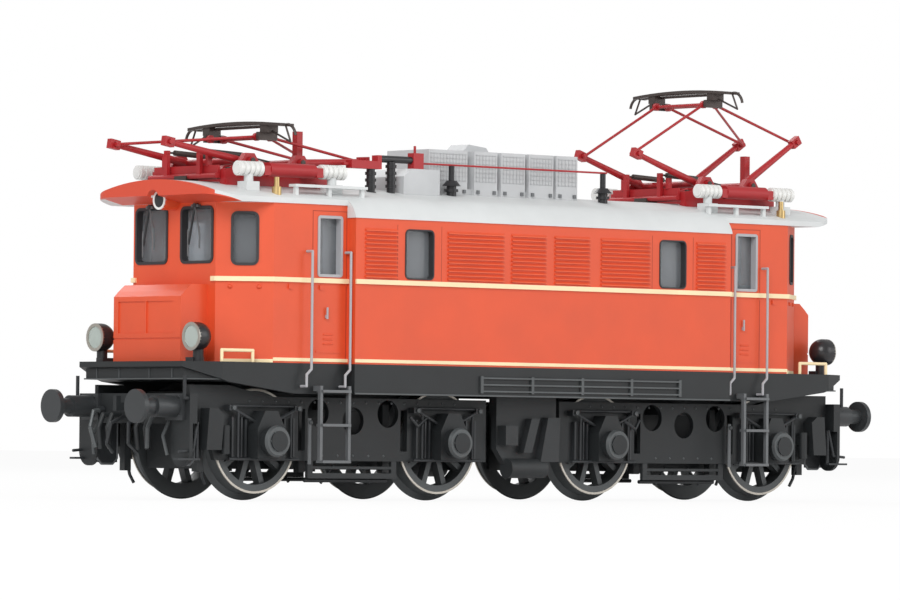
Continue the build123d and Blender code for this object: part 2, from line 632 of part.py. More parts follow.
def bogie_frame():
    """Side plates, axle boxes, chassis block, cross member, buffer beam and pivot pin of one bogie."""
    pieces = [side_plate(), rail_guard(), sand_gear()]
    bores = []
    for x in (-WHEELBASE / 2, WHEELBASE / 2):
        box, bore = axlebox(x)
        pieces.append(box)
        bores.append(bore)
    side = fuse(pieces) - fuse(bores)
    beam = block(-BEAM_X - BEAM_THICK, -BEAM_X, -BEAM_HALF, BEAM_HALF, BEAM_BOTTOM, BEAM_TOP)
    cross = block(-4, 4, -SIDE_PLATE_Y, SIDE_PLATE_Y, SPINE_Z - 0.1, SIDE_PLATE_TOP - 0.1)
    chassis = block(-CHASSIS_HALF, CHASSIS_HALF, -CHASSIS_HALF_Y, CHASSIS_HALF_Y, *CHASSIS_Z)
    for x in (-WHEELBASE / 2, WHEELBASE / 2):
        chassis -= rod_y(x, -9, 9, AXLE_Z, AXLE_RADIUS + BEARING_CLEARANCE)
    pad = rod_z(0, 0, CHASSIS_Z[1], SILL_TOP - FLOOR_THICK - BEARING_CLEARANCE, 4.0)
    pin = rod_z(0, 0, CHASSIS_Z[1], SILL_TOP - FLOOR_THICK + 1.0, PIVOT_PIN_RADIUS)
    spine = block(-BEAM_X, -CHASSIS_HALF, -SPINE_HALF_Y, SPINE_HALF_Y, SPINE_Z, BEAM_TOP)
    return fuse(both_sides(side) + [beam, cross, chassis, pad, pin, spine])


def buffers():
    """Both buffers: base plate, sleeve, plunger and domed head."""
    face = PIVOT_X - BUFFER_FACE_X
    beam = -BEAM_X - BEAM_THICK
    sleeve_end = beam - BUFFER_SLEEVE_LENGTH
    pieces = []
    for y in (-BUFFER_Y, BUFFER_Y):
        base = block(beam - 0.5, beam, y - 2.0, y + 2.0, BUFFER_Z - 2.0, BUFFER_Z + 1.9)
        sleeve = rod_x(sleeve_end, beam, y, BUFFER_Z, BUFFER_SLEEVE_RADIUS)
        plunger = rod_x(face + BUFFER_HEAD_THICK, sleeve_end, y, BUFFER_Z, BUFFER_SHANK_RADIUS)
        head = rod_x(face, face + BUFFER_HEAD_THICK, y, BUFFER_Z, BUFFER_HEAD_RADIUS)
        pieces.append(fuse([base, sleeve, plunger, head]))
    return fuse(pieces)


def coupling():
    """Draw hook, its plate and the brake hoses on the buffer beam."""
    beam = -BEAM_X - BEAM_THICK
    plate = block(beam - 0.4, beam, -1.6, 1.6, 12.0, 15.0)
    hook = block(beam - 3.6, beam - 0.4, -0.4, 0.4, 13.0, 14.2)
    tip = block(beam - 3.6, beam - 2.8, -0.4, 0.4, 14.2, 15.2)
    pieces = [plate, hook, tip]
    for y in (-5.6, -3.4, 3.4, 5.6):
        route = [(beam, y, 12.4), (beam - 1.4, y, 12.4), (beam - 2.2, y, 10.6), (beam - 1.8, y, 7.4)]
        pieces.append(bent_rod(route, 0.4))
    return fuse(pieces)


def brake_gear():
    """Brake hangers between the wheels and the guard bars under the side plates."""
    pieces = []
    gap = WHEEL_DIA / 2 + FLANGE_DEPTH + 0.9
    half = HALF_BASE
    inner_end = half - gap
    rows = [(-half - gap, SPINE_HALF_Y), (-half + gap, CHASSIS_HALF_Y), (half - gap, CHASSIS_HALF_Y)]
    plate = SIDE_PLATE_Y + SIDE_PLATE_THICK
    for side in (-1, 1):
        for x, inner in rows:
            low, high = sorted((side * inner, side * (BRAKE_Y + 0.6)))
            hanger_y = side * BRAKE_Y
            pieces.append(block(x - 0.6, x + 0.6, hanger_y - 0.6, hanger_y + 0.6, 4.2, SPINE_Z + 0.8))
            pieces.append(block(x - 0.5, x + 0.5, low, high, SPINE_Z, SPINE_Z + 0.8))
        low, high = sorted((side * (SIDE_PLATE_Y + 0.1), side * (plate - 0.1)))
        pieces.append(block(-inner_end - 0.5, inner_end + 0.5, low, high, *GUARD_BAR_Z))
        pieces.append(block(-inner_end, inner_end, low, high, GUARD_BAR_Z[1] + 0.6, GUARD_BAR_Z[1] + 1.0))
        for x in (-inner_end, inner_end):
            pieces.append(block(x - 0.5, x + 0.5, low, high, GUARD_BAR_Z[1], SIDE_PLATE_BOTTOM))
    return fuse(pieces)


# Pieces fixed to the body

def headlamps():
    """Two round lamps with domed backs on short posts on the platform of end A."""
    pieces = []
    front = -LAMP_X
    rear = front + LAMP_LENGTH
    for side in (-1, 1):
        y = side * LAMP_Y
        cup = rod_x(front, rear, y, LAMP_Z, LAMP_RADIUS)
        dome = (Pos(rear, y, LAMP_Z) * Sphere(LAMP_RADIUS)) & block(rear, rear + 5, y - 5, y + 5, LAMP_Z - 5, LAMP_Z + 5)
        post = rod_z(rear + 0.3, y, SILL_TOP, LAMP_Z, 0.8)
        foot = block(rear - 0.8, rear + 1.4, y - side * 0.8 - 0.8, y - side * 0.8 + 0.8, SILL_TOP, SILL_TOP + 0.6)
        cavity = rod_x(front - 1, front + LENS_THICK, y, LAMP_Z, LENS_RADIUS)
        pieces.append(fuse([cup, dome, post, foot]) - cavity)
    return fuse(pieces)


def lamp_lenses():
    """All six lamp lenses."""
    lenses = []
    for y in (-LAMP_Y, LAMP_Y):
        lenses.append(rod_x(-LAMP_X, -LAMP_X + LENS_THICK, y, LAMP_Z, LENS_RADIUS))
    lenses.append(rod_x(-TOP_LAMP_FACE_X, -TOP_LAMP_FACE_X + LENS_THICK, 0, TOP_LAMP_Z, TOP_LAMP_RADIUS - 0.35))
    return fuse(lenses + [turned(lens) for lens in lenses])


def top_lamps():
    """Middle lamps under the roof edge, one at each end."""
    lamp = rod_x(-TOP_LAMP_FACE_X, -FRONT_X, 0, TOP_LAMP_Z, TOP_LAMP_RADIUS)
    lamp = lamp - rod_x(-TOP_LAMP_FACE_X - 1, -TOP_LAMP_FACE_X + LENS_THICK, 0, TOP_LAMP_Z, TOP_LAMP_RADIUS - 0.35)
    return fuse([lamp, turned(lamp)])


def cab_interior():
    """Floor, desk, seat and rear wall seen through the cab windows of end A."""
    rear = -MID_HALF_LENGTH - 2.1
    side = CAB_HALF_WIDTH - 2.6
    desk_half = FRONT_HALF - 1.3
    floor_top = SILL_TOP + 1
    floor = block(-FRONT_X + 5.3, rear, -side, side, SILL_TOP, floor_top)
    desk = block(-FRONT_X + 2.8, -FRONT_X + 6.3, -desk_half, desk_half, floor_top, 33.0)
    panel = block(-FRONT_X + 2.8, -FRONT_X + 3.7, -desk_half, desk_half, 33.0, 34.6)
    seat = block(-FRONT_X + 8.9, -FRONT_X + 11.7, -6.4, -3.4, floor_top, 29.0)
    back = block(-FRONT_X + 11.1, -FRONT_X + 11.7, -6.4, -3.4, 29.0, 34.0)
    wall = block(rear - 0.8, rear, -side, side, floor_top, EAVES_Z + 0.5)
    return fuse([floor, desk, panel, seat, back, wall])


def corridor_panels():
    """Plain inner walls behind the machine-room windows."""
    wall = block(-CORRIDOR_HALF, CORRIDOR_HALF, -CORRIDOR_Y - CORRIDOR_THICK, -CORRIDOR_Y, SILL_TOP, EAVES_Z - 0.2)
    return fuse([wall, turned(wall)])


def door_handrails():
    """Bent wire handrails beside the four cab doors, with a jog towards the ladder at the foot."""
    rails = []
    y = -HANDRAIL_Y
    for x in HANDRAILS:
        foot = x - 0.9
        route = [(x, -CAB_HALF_WIDTH, HANDRAIL_TOP), (x, y, HANDRAIL_TOP), (x, y, SILL_TOP - 0.9)]
        route += [(foot, y, SILL_TOP - 1.7), (foot, y, SILL_BOTTOM + 1.1), (foot, -CAB_HALF_WIDTH, SILL_BOTTOM + 1.1)]
        rails.append(bent_rod(route, 0.2))
    near = fuse(rails)
    return fuse([near, turned(near)])


def ladders():
    """Four ladders with three steps each, hung from the frame beside the doors."""
    frames = []
    front = -LADDER_Y - 0.3
    top = SILL_BOTTOM + 1.2
    for x0, x1 in LADDERS:
        stiles = [block(x - 0.25, x + 0.25, front, front + 0.6, LADDER_STEPS[0], top) for x in (x0, x1)]
        hangers = [block(x - 0.25, x + 0.25, front, -CAB_HALF_WIDTH, top - 0.8, top) for x in (x0, x1)]
        steps = [block(x0, x1, front - 0.4, front + 1.2, z, z + 0.4) for z in LADDER_STEPS]
        frames.append(fuse(stiles + hangers + steps))
    near = fuse(frames)
    return fuse([near, turned(near)])


def grab_irons():
    """Small cream grab irons on the platform corners."""
    irons = []
    y = 0.5 - CAB_HALF_WIDTH
    top = SILL_TOP + 1.7
    for x0 in (-FRONT_X - 2.5, FRONT_X - 3.3):
        x1 = x0 + 5.8
        route = [(x0, y, SILL_TOP), (x0, y, top), (x1, y, top), (x1, y, SILL_TOP)]
        irons.append(bent_rod(route, 0.25))
    near = fuse(irons)
    return fuse([near, turned(near)])


def wipers():
    """Windscreen wipers hanging from above the front windows."""
    pieces = []
    middle = sum(FRONT_WINDOW_Y) / 2
    for y in (-middle, middle):
        boss = rod_x(-FRONT_X - 0.7, -FRONT_X, y, CAB_TOP_Z - 0.45, 0.35)
        arm = rod((-FRONT_X - 0.5, y, CAB_TOP_Z - 0.45), (-FRONT_X - 0.5, y + 1.4, 37.6), 0.18)
        pieces += [boss, arm]
    end = fuse(pieces)
    return fuse([end, turned(end)])


# Roof equipment

def on_roof(shape):
    """A shape that stands on the roof, trimmed to the roof's outer surface."""
    return shape - roof_bar(0, -FRONT_X, FRONT_X)


def along(x):
    """Place of a piece of the roof row for the present length of the machine room."""
    return x * ROW_STRETCH


def resistor_housings():
    """Brake resistor boxes in a row on the roof, with a light duct box at one end."""
    foot = ROOF_SHOULDER_Z + 0.4
    back = RESISTOR_FRONT + 9.8
    pieces = [block(along(-16.3), along(14.2), RESISTOR_FRONT + 0.6, back - 0.2, foot, foot + 1.8)]
    for x0, x1 in RESISTOR_BOXES:
        pieces.append(block(along(x0), along(x1), RESISTOR_FRONT, back, foot, RESISTOR_TOP))
    hump = [(-5.4, -0.5), (1.4, -0.5), (0.2, 1.0), (-3.4, 1.4)]
    pieces.append(plate_xz([(along(x), RESISTOR_TOP + z) for x, z in hump], back - 4.2, back))
    duct_top = CONDUCTOR_Z - 0.9
    duct = [(-23.5, foot), (-16.3, foot), (-16.3, duct_top), (-22.0, duct_top), (-23.5, duct_top - 1.2)]
    pieces.append(plate_xz([(along(x), z) for x, z in duct], CONDUCTOR_Y - 1.0, back - 4.2))
    return on_roof(fuse(pieces))


def post_insulator(x, y, z0, z1):
    """Black post insulator: body with a rib, one wide sloping shed and a thin neck."""
    shed = z0 + (z1 - z0) * 0.5
    body = rod_z(x, y, z0, shed, 0.75)
    rib = rod_z(x, y, shed - 0.9, shed - 0.5, 1.05)
    rim = Pos(x, y, shed + 0.4) * Cone(1.45, 0.8, 0.8)
    neck = rod_z(x, y, shed, z1, 0.45)
    return fuse([body, rib, rim, neck])


def ribbed_column(x, y, z0, z1):
    """Black column insulator with narrow ribs."""
    pieces = [rod_z(x, y, z0, z1, 0.65)]
    for index in range(4):
        z = z1 - 0.9 - index * 1.0
        pieces.append(rod_z(x, y, z, z + 0.45, 0.85))
    return fuse(pieces)


def post_insulators():
    """Black insulators that carry the roof conductor and the main switch."""
    foot = ROOF_SHOULDER_Z - 0.6
    posts = [post_insulator(along(x), CONDUCTOR_Y, foot, CONDUCTOR_Z - CONDUCTOR_RADIUS) for x in CONDUCTOR_POSTS]
    column_a = ribbed_column(along(-29.2), CONDUCTOR_Y, foot, CONDUCTOR_Z - 1.2)
    column_b = ribbed_column(along(-25.2), CONDUCTOR_Y, foot, CONDUCTOR_Z)
    chamber = rod_x(along(-27.6), along(-21.3), CONDUCTOR_Y, CONDUCTOR_Z + 0.4, 0.55)
    return on_roof(fuse(posts + [column_a, column_b, chamber]) - main_switch())


def roof_conductor():
    """Red conductor bar from the main switch along the roof."""
    return rod_x(along(-19.3), along(CONDUCTOR_POSTS[-1]) + 0.8, CONDUCTOR_Y, CONDUCTOR_Z, CONDUCTOR_RADIUS)


def main_switch():
    """Red end blocks of the main switch and its contact pin."""
    y0 = CONDUCTOR_Y - 0.7
    y1 = CONDUCTOR_Y + 0.7
    block_a = block(along(-33.5), along(-27.6), y0, y1, CONDUCTOR_Z - 1.2, CONDUCTOR_Z)
    lug = block(along(-28.4), along(-27.6), y0, y1, CONDUCTOR_Z, CONDUCTOR_Z + 0.9)
    stub = rod_x(along(-33.5) - 1.1, along(-33.5), CONDUCTOR_Y, CONDUCTOR_Z - 0.6, 0.25)
    block_b = block(along(-21.3), along(-19.3), y0, y1, CONDUCTOR_Z - 0.9, CONDUCTOR_Z + 1.5)
    pin = rod_z(along(-20.5), CONDUCTOR_Y, CONDUCTOR_Z + 1.5, CONDUCTOR_Z + 2.6, 0.2)
    return fuse([block_a, lug, stub, block_b, pin])


def roof_walkways():
    """Four walkway boards on legs along the roof edges."""
    boards = []
    half = WALKWAY_WIDTH / 2
    for x0, x1 in ((PANTO_X[0] - 1.3, PANTO_X[0] + 12.6), (PANTO_X[1] - 10.4, PANTO_X[1] + 2.7)):
        board = block(x0, x1, -WALKWAY_Y - half, -WALKWAY_Y + half, WALKWAY_Z, WALKWAY_Z + 0.4)
        spots = (x0 + 0.6, (x0 + x1) / 2, x1 - 0.6)
        legs = [block(x - 0.3, x + 0.3, -WALKWAY_Y - 0.4, -WALKWAY_Y + 0.2, ROOF_MID_Z, WALKWAY_Z) for x in spots]
        boards.append(fuse([board] + legs))
    near = on_roof(fuse(boards))
    return fuse([near, turned(near)])


def whistles():
    """Brass whistles on the roof, one near each end."""
    pieces = []
    y = 2.8 - MID_HALF_WIDTH
    for x in (PANTO_X[0] - 4.2, PANTO_X[1] + 6.2):
        pieces.append(rod_z(x, y, ROOF_MID_Z, 46.2, 0.7))
        pieces.append(rod_z(x, y, 46.2, 47.6, 0.4))
    return on_roof(fuse(pieces))


# Pantographs, in a frame whose X = 0 is the middle of the base

def linkage(angles):
    """Knees, head middle and pin places for the lower arms' angles over the horizontal."""
    left, right = [math.radians(angle) for angle in angles]
    knee_a = (-BASE_PIN_X - LOWER_ARM * math.cos(left), BASE_PIN_Z + LOWER_ARM * math.sin(left))
    knee_b = (BASE_PIN_X + LOWER_ARM * math.cos(right), BASE_PIN_Z + LOWER_ARM * math.sin(right))
    ax, az = knee_a[0] + HEAD_PIN_X, knee_a[1]
    bx, bz = knee_b[0] - HEAD_PIN_X, knee_b[1]
    span = math.hypot(bx - ax, bz - az)
    rise = math.sqrt(UPPER_ARM ** 2 - (span / 2) ** 2)
    head = ((ax + bx) / 2 - rise * (bz - az) / span, (az + bz) / 2 + rise * (bx - ax) / span)
    return knee_a, knee_b, head


def lower_arm(pin_x, knee):
    """One lower arm frame: base shaft, two tapered bars and knee blocks."""
    shaft = rod_y(pin_x, -SHAFT_END, SHAFT_END, BASE_PIN_Z, SHAFT_RADIUS)
    slope = math.degrees(math.atan2(knee[1] - BASE_PIN_Z, knee[0] - pin_x))
    pieces = [shaft]
    for side in (-1, 1):
        y = side * ARM_Y
        pieces.append(tapered_bar((pin_x, y, BASE_PIN_Z), (knee[0], y, knee[1]), *LOWER_ARM_RADII))
        pieces.append(Pos(knee[0], y, knee[1]) * Rot(0, -slope, 0) * Box(*KNEE_BLOCK))
    bore = rod_y(knee[0], -ARM_Y - 2, ARM_Y + 2, knee[1], KNEE_PIN_RADIUS + HINGE_CLEARANCE)
    return fuse(pieces) - bore


def upper_arm(knee, top, pin_clearance, brace):
    """One upper arm frame: knee pins, two thin bars joined by a tube at the head, and a brace if it has one."""
    pieces = [rod_y(top[0], -TUBE_HALF, TUBE_HALF, top[1], HEAD_PIN_RADIUS)]
    bores = []
    for side in (-1, 1):
        y = side * UPPER_ARM_Y
        pieces.append(rod_y(knee[0], side * TUBE_HALF, side * (ARM_Y + 0.9), knee[1], KNEE_PIN_RADIUS))
        pieces.append(rod((knee[0], y, knee[1]), (top[0], y, top[1]), UPPER_ARM_RADIUS))
        pieces.append(rod_y(top[0], y - 0.3, y + 0.3, top[1], 0.6))
        bores.append(rod_y(top[0], side * TUBE_HALF, side * (ARM_Y + 2), top[1], HEAD_PIN_RADIUS + pin_clearance))
    if brace:
        pieces.append(rod((knee[0], UPPER_ARM_Y, knee[1]), (top[0], 0.5 - UPPER_ARM_Y, top[1]), 0.2))
    return fuse(pieces) - fuse(bores)


def bowed_strip(x, z):
    """One contact strip, bowed along Y, its crown at the given height."""
    low = z - STRIP_SAG
    outer = ThreePointArc((x, -STRIP_HALF, low), (x, 0, z), (x, STRIP_HALF, low))
    end = Line((x, STRIP_HALF, low), (x, STRIP_HALF, low - STRIP_THICK))
    inner = ThreePointArc((x, STRIP_HALF, low - STRIP_THICK), (x, 0, z - STRIP_THICK), (x, -STRIP_HALF, low - STRIP_THICK))
    start = Line((x, -STRIP_HALF, low - STRIP_THICK), (x, -STRIP_HALF, low))
    return extrude(make_face([outer, end, inner, start]), amount=STRIP_WIDTH, dir=(1, 0, 0))


def horn(x, side, z):
    """Curved end horn that turns down beside a contact strip's end."""
    start = (x, side * (STRIP_HALF - 0.4), z)
    path = ThreePointArc(start, (x, side * (HORN_Y - 0.55), z - 0.5), (x, side * HORN_Y, z - 1.6))
    plane = Plane(origin=start, z_dir=path % 0)
    return sweep(plane * Circle(HORN_RADIUS), path=path)


def collector_head(head):
    """Head: pin plates, blocks, cross bars, two bowed contact strips, curved horns and guard wires."""
    x, z = head
    crown = z + STRIP_CROWN
    pieces = [rod_y(x, -ARM_Y, ARM_Y, z + 1.6, 0.25), rod_y(x, -ARM_Y, ARM_Y, z + 0.1, 0.25)]
    for offset in (-STRIP_OFFSET, STRIP_OFFSET):
        pieces.append(bowed_strip(x + offset - STRIP_WIDTH / 2, crown))
    for side in (-1, 1):
        low, high = sorted((side * (ARM_Y - 0.5), side * (ARM_Y + 0.1)))
        pieces.append(block(x - 1.8, x + 1.8, low, high, z - 0.5, z + 0.7))
        low, high = sorted((side * (ARM_Y - 0.5), side * (ARM_Y + 1.1)))
        pieces.append(block(x - 1.1, x + 1.1, low, high, z + 0.6, z + 1.9))
        for pin in (-HEAD_PIN_X, HEAD_PIN_X):
            pieces.append(rod_y(x + pin, side * (TUBE_HALF + 0.05), side * ARM_Y, z, HEAD_PIN_RADIUS))
        end = crown - STRIP_SAG - 0.2
        low, high = sorted((side * (STRIP_HALF - 0.6), side * STRIP_HALF))
        pieces.append(block(x - STRIP_OFFSET, x + STRIP_OFFSET, low, high, end - 0.2, end + 0.1))
        pieces.append(horn(x, side, end))
        tip = (x, side * (HORN_Y - 1.1), crown - 3.3)
        pieces.append(rod((x, side * (STRIP_HALF - 0.3), end - 0.1), (x, side * STRIP_HALF, end - 0.1), 0.15))
        pieces.append(bent_rod([(x, side * (STRIP_HALF - 0.3), end - 0.1), tip, (x, side * (ARM_Y + 0.9), z + 0.9)], 0.15))
    return fuse(pieces)


def panto_frame():
    """Red base frame: side plates with bearings, cross beams, insulator brackets, cylinders and the fixed post."""
    middle = FRAME_OFFSET
    x0 = middle - FRAME_HALF_X
    x1 = middle + FRAME_HALF_X
    outline = [(x0, FRAME_BOTTOM), (x0, FRAME_TOP)]
    for pin in (-BASE_PIN_X, BASE_PIN_X):
        top = BASE_PIN_Z + 1.1
        outline += [(pin - 2.4, FRAME_TOP + 0.3), (pin - 0.8, top), (pin + 0.8, top), (pin + 2.4, FRAME_TOP + 0.3)]
    outline += [(x1, FRAME_TOP), (x1, FRAME_BOTTOM)]
    cylinder_half = INSULATOR_X[0] - 1.2
    pieces = []
    for side in (-1, 1):
        low, high = sorted((side * FRAME_Y[0], side * FRAME_Y[1]))
        pieces.append(plate_xz(outline, low, high))
        y = side * INSULATOR_Y
        pieces.append(rod_x(middle - cylinder_half, middle + cylinder_half, y, INSULATOR_Z, 1.05))
        for end in (-1, 1):
            low_x, high_x = sorted((middle + end * cylinder_half, middle + end * INSULATOR_X[0]))
            low, high = sorted((side * FRAME_Y[0], side * (INSULATOR_Y + 0.9)))
            pieces.append(block(low_x, high_x, low, high, INSULATOR_Z - 0.9, INSULATOR_Z + 0.5))
    for x in (x0 + 0.7, x1 - 0.7):
        pieces.append(block(x - 0.7, x + 0.7, -FRAME_Y[0], FRAME_Y[0], FRAME_TOP - 1.4, FRAME_TOP - 0.2))
    half = POST_WIDTH / 2
    pieces.append(block(POST_X - 1.7, x1, POST_Y - 1.5, POST_Y + 1.5, FRAME_TOP - 1.4, FRAME_TOP))
    pieces.append(block(POST_X - half, POST_X + half, POST_Y - half, POST_Y + half, FRAME_TOP, POST_TOP))
    bores = [rod_y(pin, -SHAFT_END - 0.1, SHAFT_END + 0.1, BASE_PIN_Z, SHAFT_RADIUS + HINGE_CLEARANCE) for pin in (-BASE_PIN_X, BASE_PIN_X)]
    return fuse(pieces) - fuse(bores)


def insulator_spots():
    """Start and end along X, and Y, of the insulators beside both pantograph bases."""
    spots = []
    for x0 in PANTO_X:
        for end in (-1, 1):
            span = sorted((x0 + FRAME_OFFSET + end * INSULATOR_X[0], x0 + FRAME_OFFSET + end * INSULATOR_X[1]))
            spots += [(span[0], span[1], -INSULATOR_Y), (span[0], span[1], INSULATOR_Y)]
    return spots


def panto_insulators():
    """Eight ribbed white insulators that lie along the pantograph bases."""
    pieces = []
    for low, high, y in insulator_spots():
        bar = rod_x(low, high, y, INSULATOR_Z, INSULATOR_RADIUS)
        step = (high - low) / 5
        ribs = [rod_x(low + step * (i + 0.2), low + step * (i + 0.8), y, INSULATOR_Z, INSULATOR_RIB_RADIUS) for i in range(5)]
        pieces.append(fuse([bar] + ribs))
    return fuse(pieces)


def panto_pedestals():
    """Light grey pedestal with a neck under each of those insulators."""
    pieces = []
    for low, high, y in insulator_spots():
        middle = (low + high) / 2
        foot = block(middle - 1.2, middle + 1.2, y - 1.1, y + 1.1, ROOF_MID_Z, PEDESTAL_TOP)
        neck = rod_z(middle, y, PEDESTAL_TOP, INSULATOR_Z - INSULATOR_RADIUS, 0.7)
        pieces.append(fuse([foot, neck]))
    return on_roof(fuse(pieces)) - panto_insulators()


def build_nodes():
    nodes = {
        "body_shell": body_shell(),
        "waist_rails": waist_rails(),
        "glazing": glazing(),
        "roof": roof(),
        "visor_b": visor(),
        "visor_a": turned(visor()),
        "underframe": underframe(),
        "pipe_racks": pipe_racks(),
        "underfloor_gear": underfloor_gear(),
        "motor_block": block(-MOTOR_HALF_LENGTH, MOTOR_HALF_LENGTH, -MOTOR_HALF_WIDTH, MOTOR_HALF_WIDTH, SILL_TOP, MOTOR_TOP_Z),
        "corridor_panels": corridor_panels(),
        "cab_interior_a": cab_interior(),
        "cab_interior_b": turned(cab_interior()),
        "headlamps_a": headlamps(),
        "headlamps_b": turned(headlamps()),
        "top_lamps": top_lamps(),
        "lamp_lenses": lamp_lenses(),
        "door_handrails": door_handrails(),
        "ladders": ladders(),
        "grab_irons": grab_irons(),
        "wipers": wipers(),
        "resistor_housings": resistor_housings(),
        "post_insulators": post_insulators(),
        "roof_conductor": roof_conductor(),
        "main_switch": main_switch(),
        "roof_walkways": roof_walkways(),
        "whistles": whistles(),
        "panto_insulators": panto_insulators(),
        "panto_pedestals": panto_pedestals(),
    }
    bogie_a = Pos(-PIVOT_X, 0, 0)
    makers = {"bogie_frame": bogie_frame, "buffers": buffers, "coupling": coupling, "brake_gear": brake_gear}
    for name, make in makers.items():
        piece = bogie_a * make()
        nodes[name + "_a"] = piece
        nodes[name + "_b"] = turned(piece)
    axle = wheelset()
    half = WHEELBASE / 2
    for index, x in enumerate((-PIVOT_X - half, -PIVOT_X + half, PIVOT_X - half, PIVOT_X + half), start=1):
        nodes["wheelset_%d" % index] = Pos(x, 0, 0) * axle
    for name, x0, angles in (("a", PANTO_X[0], LOWERED), ("b", PANTO_X[1], RAISED)):
        knee_a, knee_b, head = linkage(angles)
        place = Pos(x0, 0, 0)
        nodes["panto_frame_" + name] = on_roof(place * panto_frame())
        nodes["lower_arm_left_" + name] = place * lower_arm(-BASE_PIN_X, knee_a)
        nodes["lower_arm_right_" + name] = place * lower_arm(BASE_PIN_X, knee_b)
        nodes["upper_arm_left_" + name] = place * upper_arm(knee_a, (head[0] - HEAD_PIN_X, head[1]), HINGE_CLEARANCE, False)
        nodes["upper_arm_right_" + name] = place * upper_arm(knee_b, (head[0] + HEAD_PIN_X, head[1]), OPEN_PIN_CLEARANCE, True)
        nodes["collector_head_" + name] = place * collector_head(head)
    return nodes


os.makedirs("parts", exist_ok=True)
for node_name, node_shape in build_nodes().items():
    export_step(node_shape, "parts/%s.step" % node_name)
    print(node_name, len(node_shape.solids()), round(node_shape.volume, 1))
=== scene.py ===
import json
import math

import bmesh
import bpy
from mathutils import Matrix, Vector


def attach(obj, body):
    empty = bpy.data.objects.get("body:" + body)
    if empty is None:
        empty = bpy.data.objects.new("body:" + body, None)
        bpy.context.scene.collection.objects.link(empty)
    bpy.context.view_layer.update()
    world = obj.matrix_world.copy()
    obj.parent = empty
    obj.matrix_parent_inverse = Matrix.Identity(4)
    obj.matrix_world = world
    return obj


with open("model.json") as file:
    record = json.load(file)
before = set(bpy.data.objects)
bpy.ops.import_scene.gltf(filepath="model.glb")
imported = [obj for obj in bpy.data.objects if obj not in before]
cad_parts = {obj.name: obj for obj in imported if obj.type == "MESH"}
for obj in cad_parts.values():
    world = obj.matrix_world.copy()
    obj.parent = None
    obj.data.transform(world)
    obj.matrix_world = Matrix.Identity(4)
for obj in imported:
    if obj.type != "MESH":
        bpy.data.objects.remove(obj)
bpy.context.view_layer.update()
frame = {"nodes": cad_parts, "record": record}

# Lengths below are millimetres in the row frame; MM turns them into Blender's metres.
# End A is at -X, the side seen in the photograph at -Y. End B is end A turned half round about Z.
MM = 0.001
ROOT = "loco_body"
TURN = Matrix.Rotation(math.pi, 4, "Z")

# Body: half length and half width of the machine room, then the cabs, which follow it
MID_HALF_LENGTH = 38.4
MID_Y = 16.9
CAB_Y = MID_Y - 1.8
FACET_X = MID_HALF_LENGTH + 14.2
FRONT_X = FACET_X + 6.7
FRONT_HALF = CAB_Y - 5.3
FACET_MID = ((FACET_X + FRONT_X) / 2, (CAB_Y + FRONT_HALF) / 2)
FACET_OUT = (CAB_Y - FRONT_HALF, FRONT_X - FACET_X)
SILL_TOP = 20.3
SILL_BOTTOM = 15.8
SILL_BAND_HEIGHT = 0.5
WAIST_GAP = (31.8, 33.0)

# Windows: middle and width along the wall, foot and top
MID_WINDOW_X = MID_HALF_LENGTH - 12.45
MID_WINDOW_WIDTH = 5.5
MID_WINDOW_Z = (33.2, 40.5)
FRONT_WINDOW_Y = 5.4
FRONT_WINDOW_WIDTH = 7.2
FRONT_WINDOW_Z = (35.1, 43.0)
FACET_WINDOW_WIDTH = 3.6
FACET_WINDOW_Z = (34.8, 42.2)
DOOR_WINDOWS = ((-44.0, -39.8), (41.4, 45.6))
DOOR_WINDOW_Z = (33.4, 41.9)
WINDOW_CORNER = 0.7
DOOR_WINDOW_CORNER = 0.2

# Doors and louvre panels of the near wall: start and end along X
DOORS = ((-45.2, -38.7), (40.3, 46.5))
DOOR_Z = (21.0, 42.9)
DOOR_SLOTS = 3
DOOR_SLOT_PITCH = 0.7
LOUVRE_PANELS = ((-36.6, -30.4), (-20.4, -9.2), (-7.6, -0.6), (1.2, 8.4), (10.8, 21.0), (31.0, 37.2))
LOUVRE_BOTTOM_Z = 33.2
LOUVRE_PITCH = 0.63
LOUVRE_COUNT = 12
WALL_SEAMS = (21.6, 30.3)
WALL_SEAM_Z = (32.9, 41.2)

# Lamps
LAMP_X = FRONT_X + 5.7
LAMP_Y = 11.5
LAMP_Z = 23.94
LAMP_RADIUS = 2.1
TOP_LAMP_X = FRONT_X + 2.9
TOP_LAMP_Z = 44.2
TOP_LAMP_RADIUS = 1.45

# Resistor boxes: start and end along X, near and far face
RESISTOR_BOXES = ((-16.3, -8.5), (-7.1, -2.4), (-1.6, 3.3), (4.1, 9.2), (9.8, 14.2))
RESISTOR_Y = (-7.6, 2.2)
RESISTOR_FOOT_Z = (46.9, 47.45)
MESH_Z = (48.7, 52.9)
MESH_ROWS = 7
MESH_ROW_PITCH = 0.67
MESH_COLUMN_PITCH = 0.6
MESH_LAYER = 0.15

# Bogies: pivot, axles, side plate's outer face, axle boxes and the front of the buffer beam
PIVOT_X = MID_HALF_LENGTH - 4.5
HALF_BASE = 17.8
AXLE_Z = 8.75
AXLES = (-PIVOT_X - HALF_BASE, -PIVOT_X + HALF_BASE, PIVOT_X - HALF_BASE, PIVOT_X + HALF_BASE)
WHEEL_FACE_Y = 9.95
TYRE_RADII = (7.42, 7.74)
PLATE_Y = 11.3
COVER_Y = 15.2
COVER_BOLTS = 6
COVER_BOLT_CIRCLE = 1.45
BRAKE_ROD_Y = 9.6
BRAKE_ROD_Z = 3.0
BEAM_FACE_X = PIVOT_X + HALF_BASE + 14.8
GUARD_Y = 9.2
STEP_Y = (11.8, 13.0)

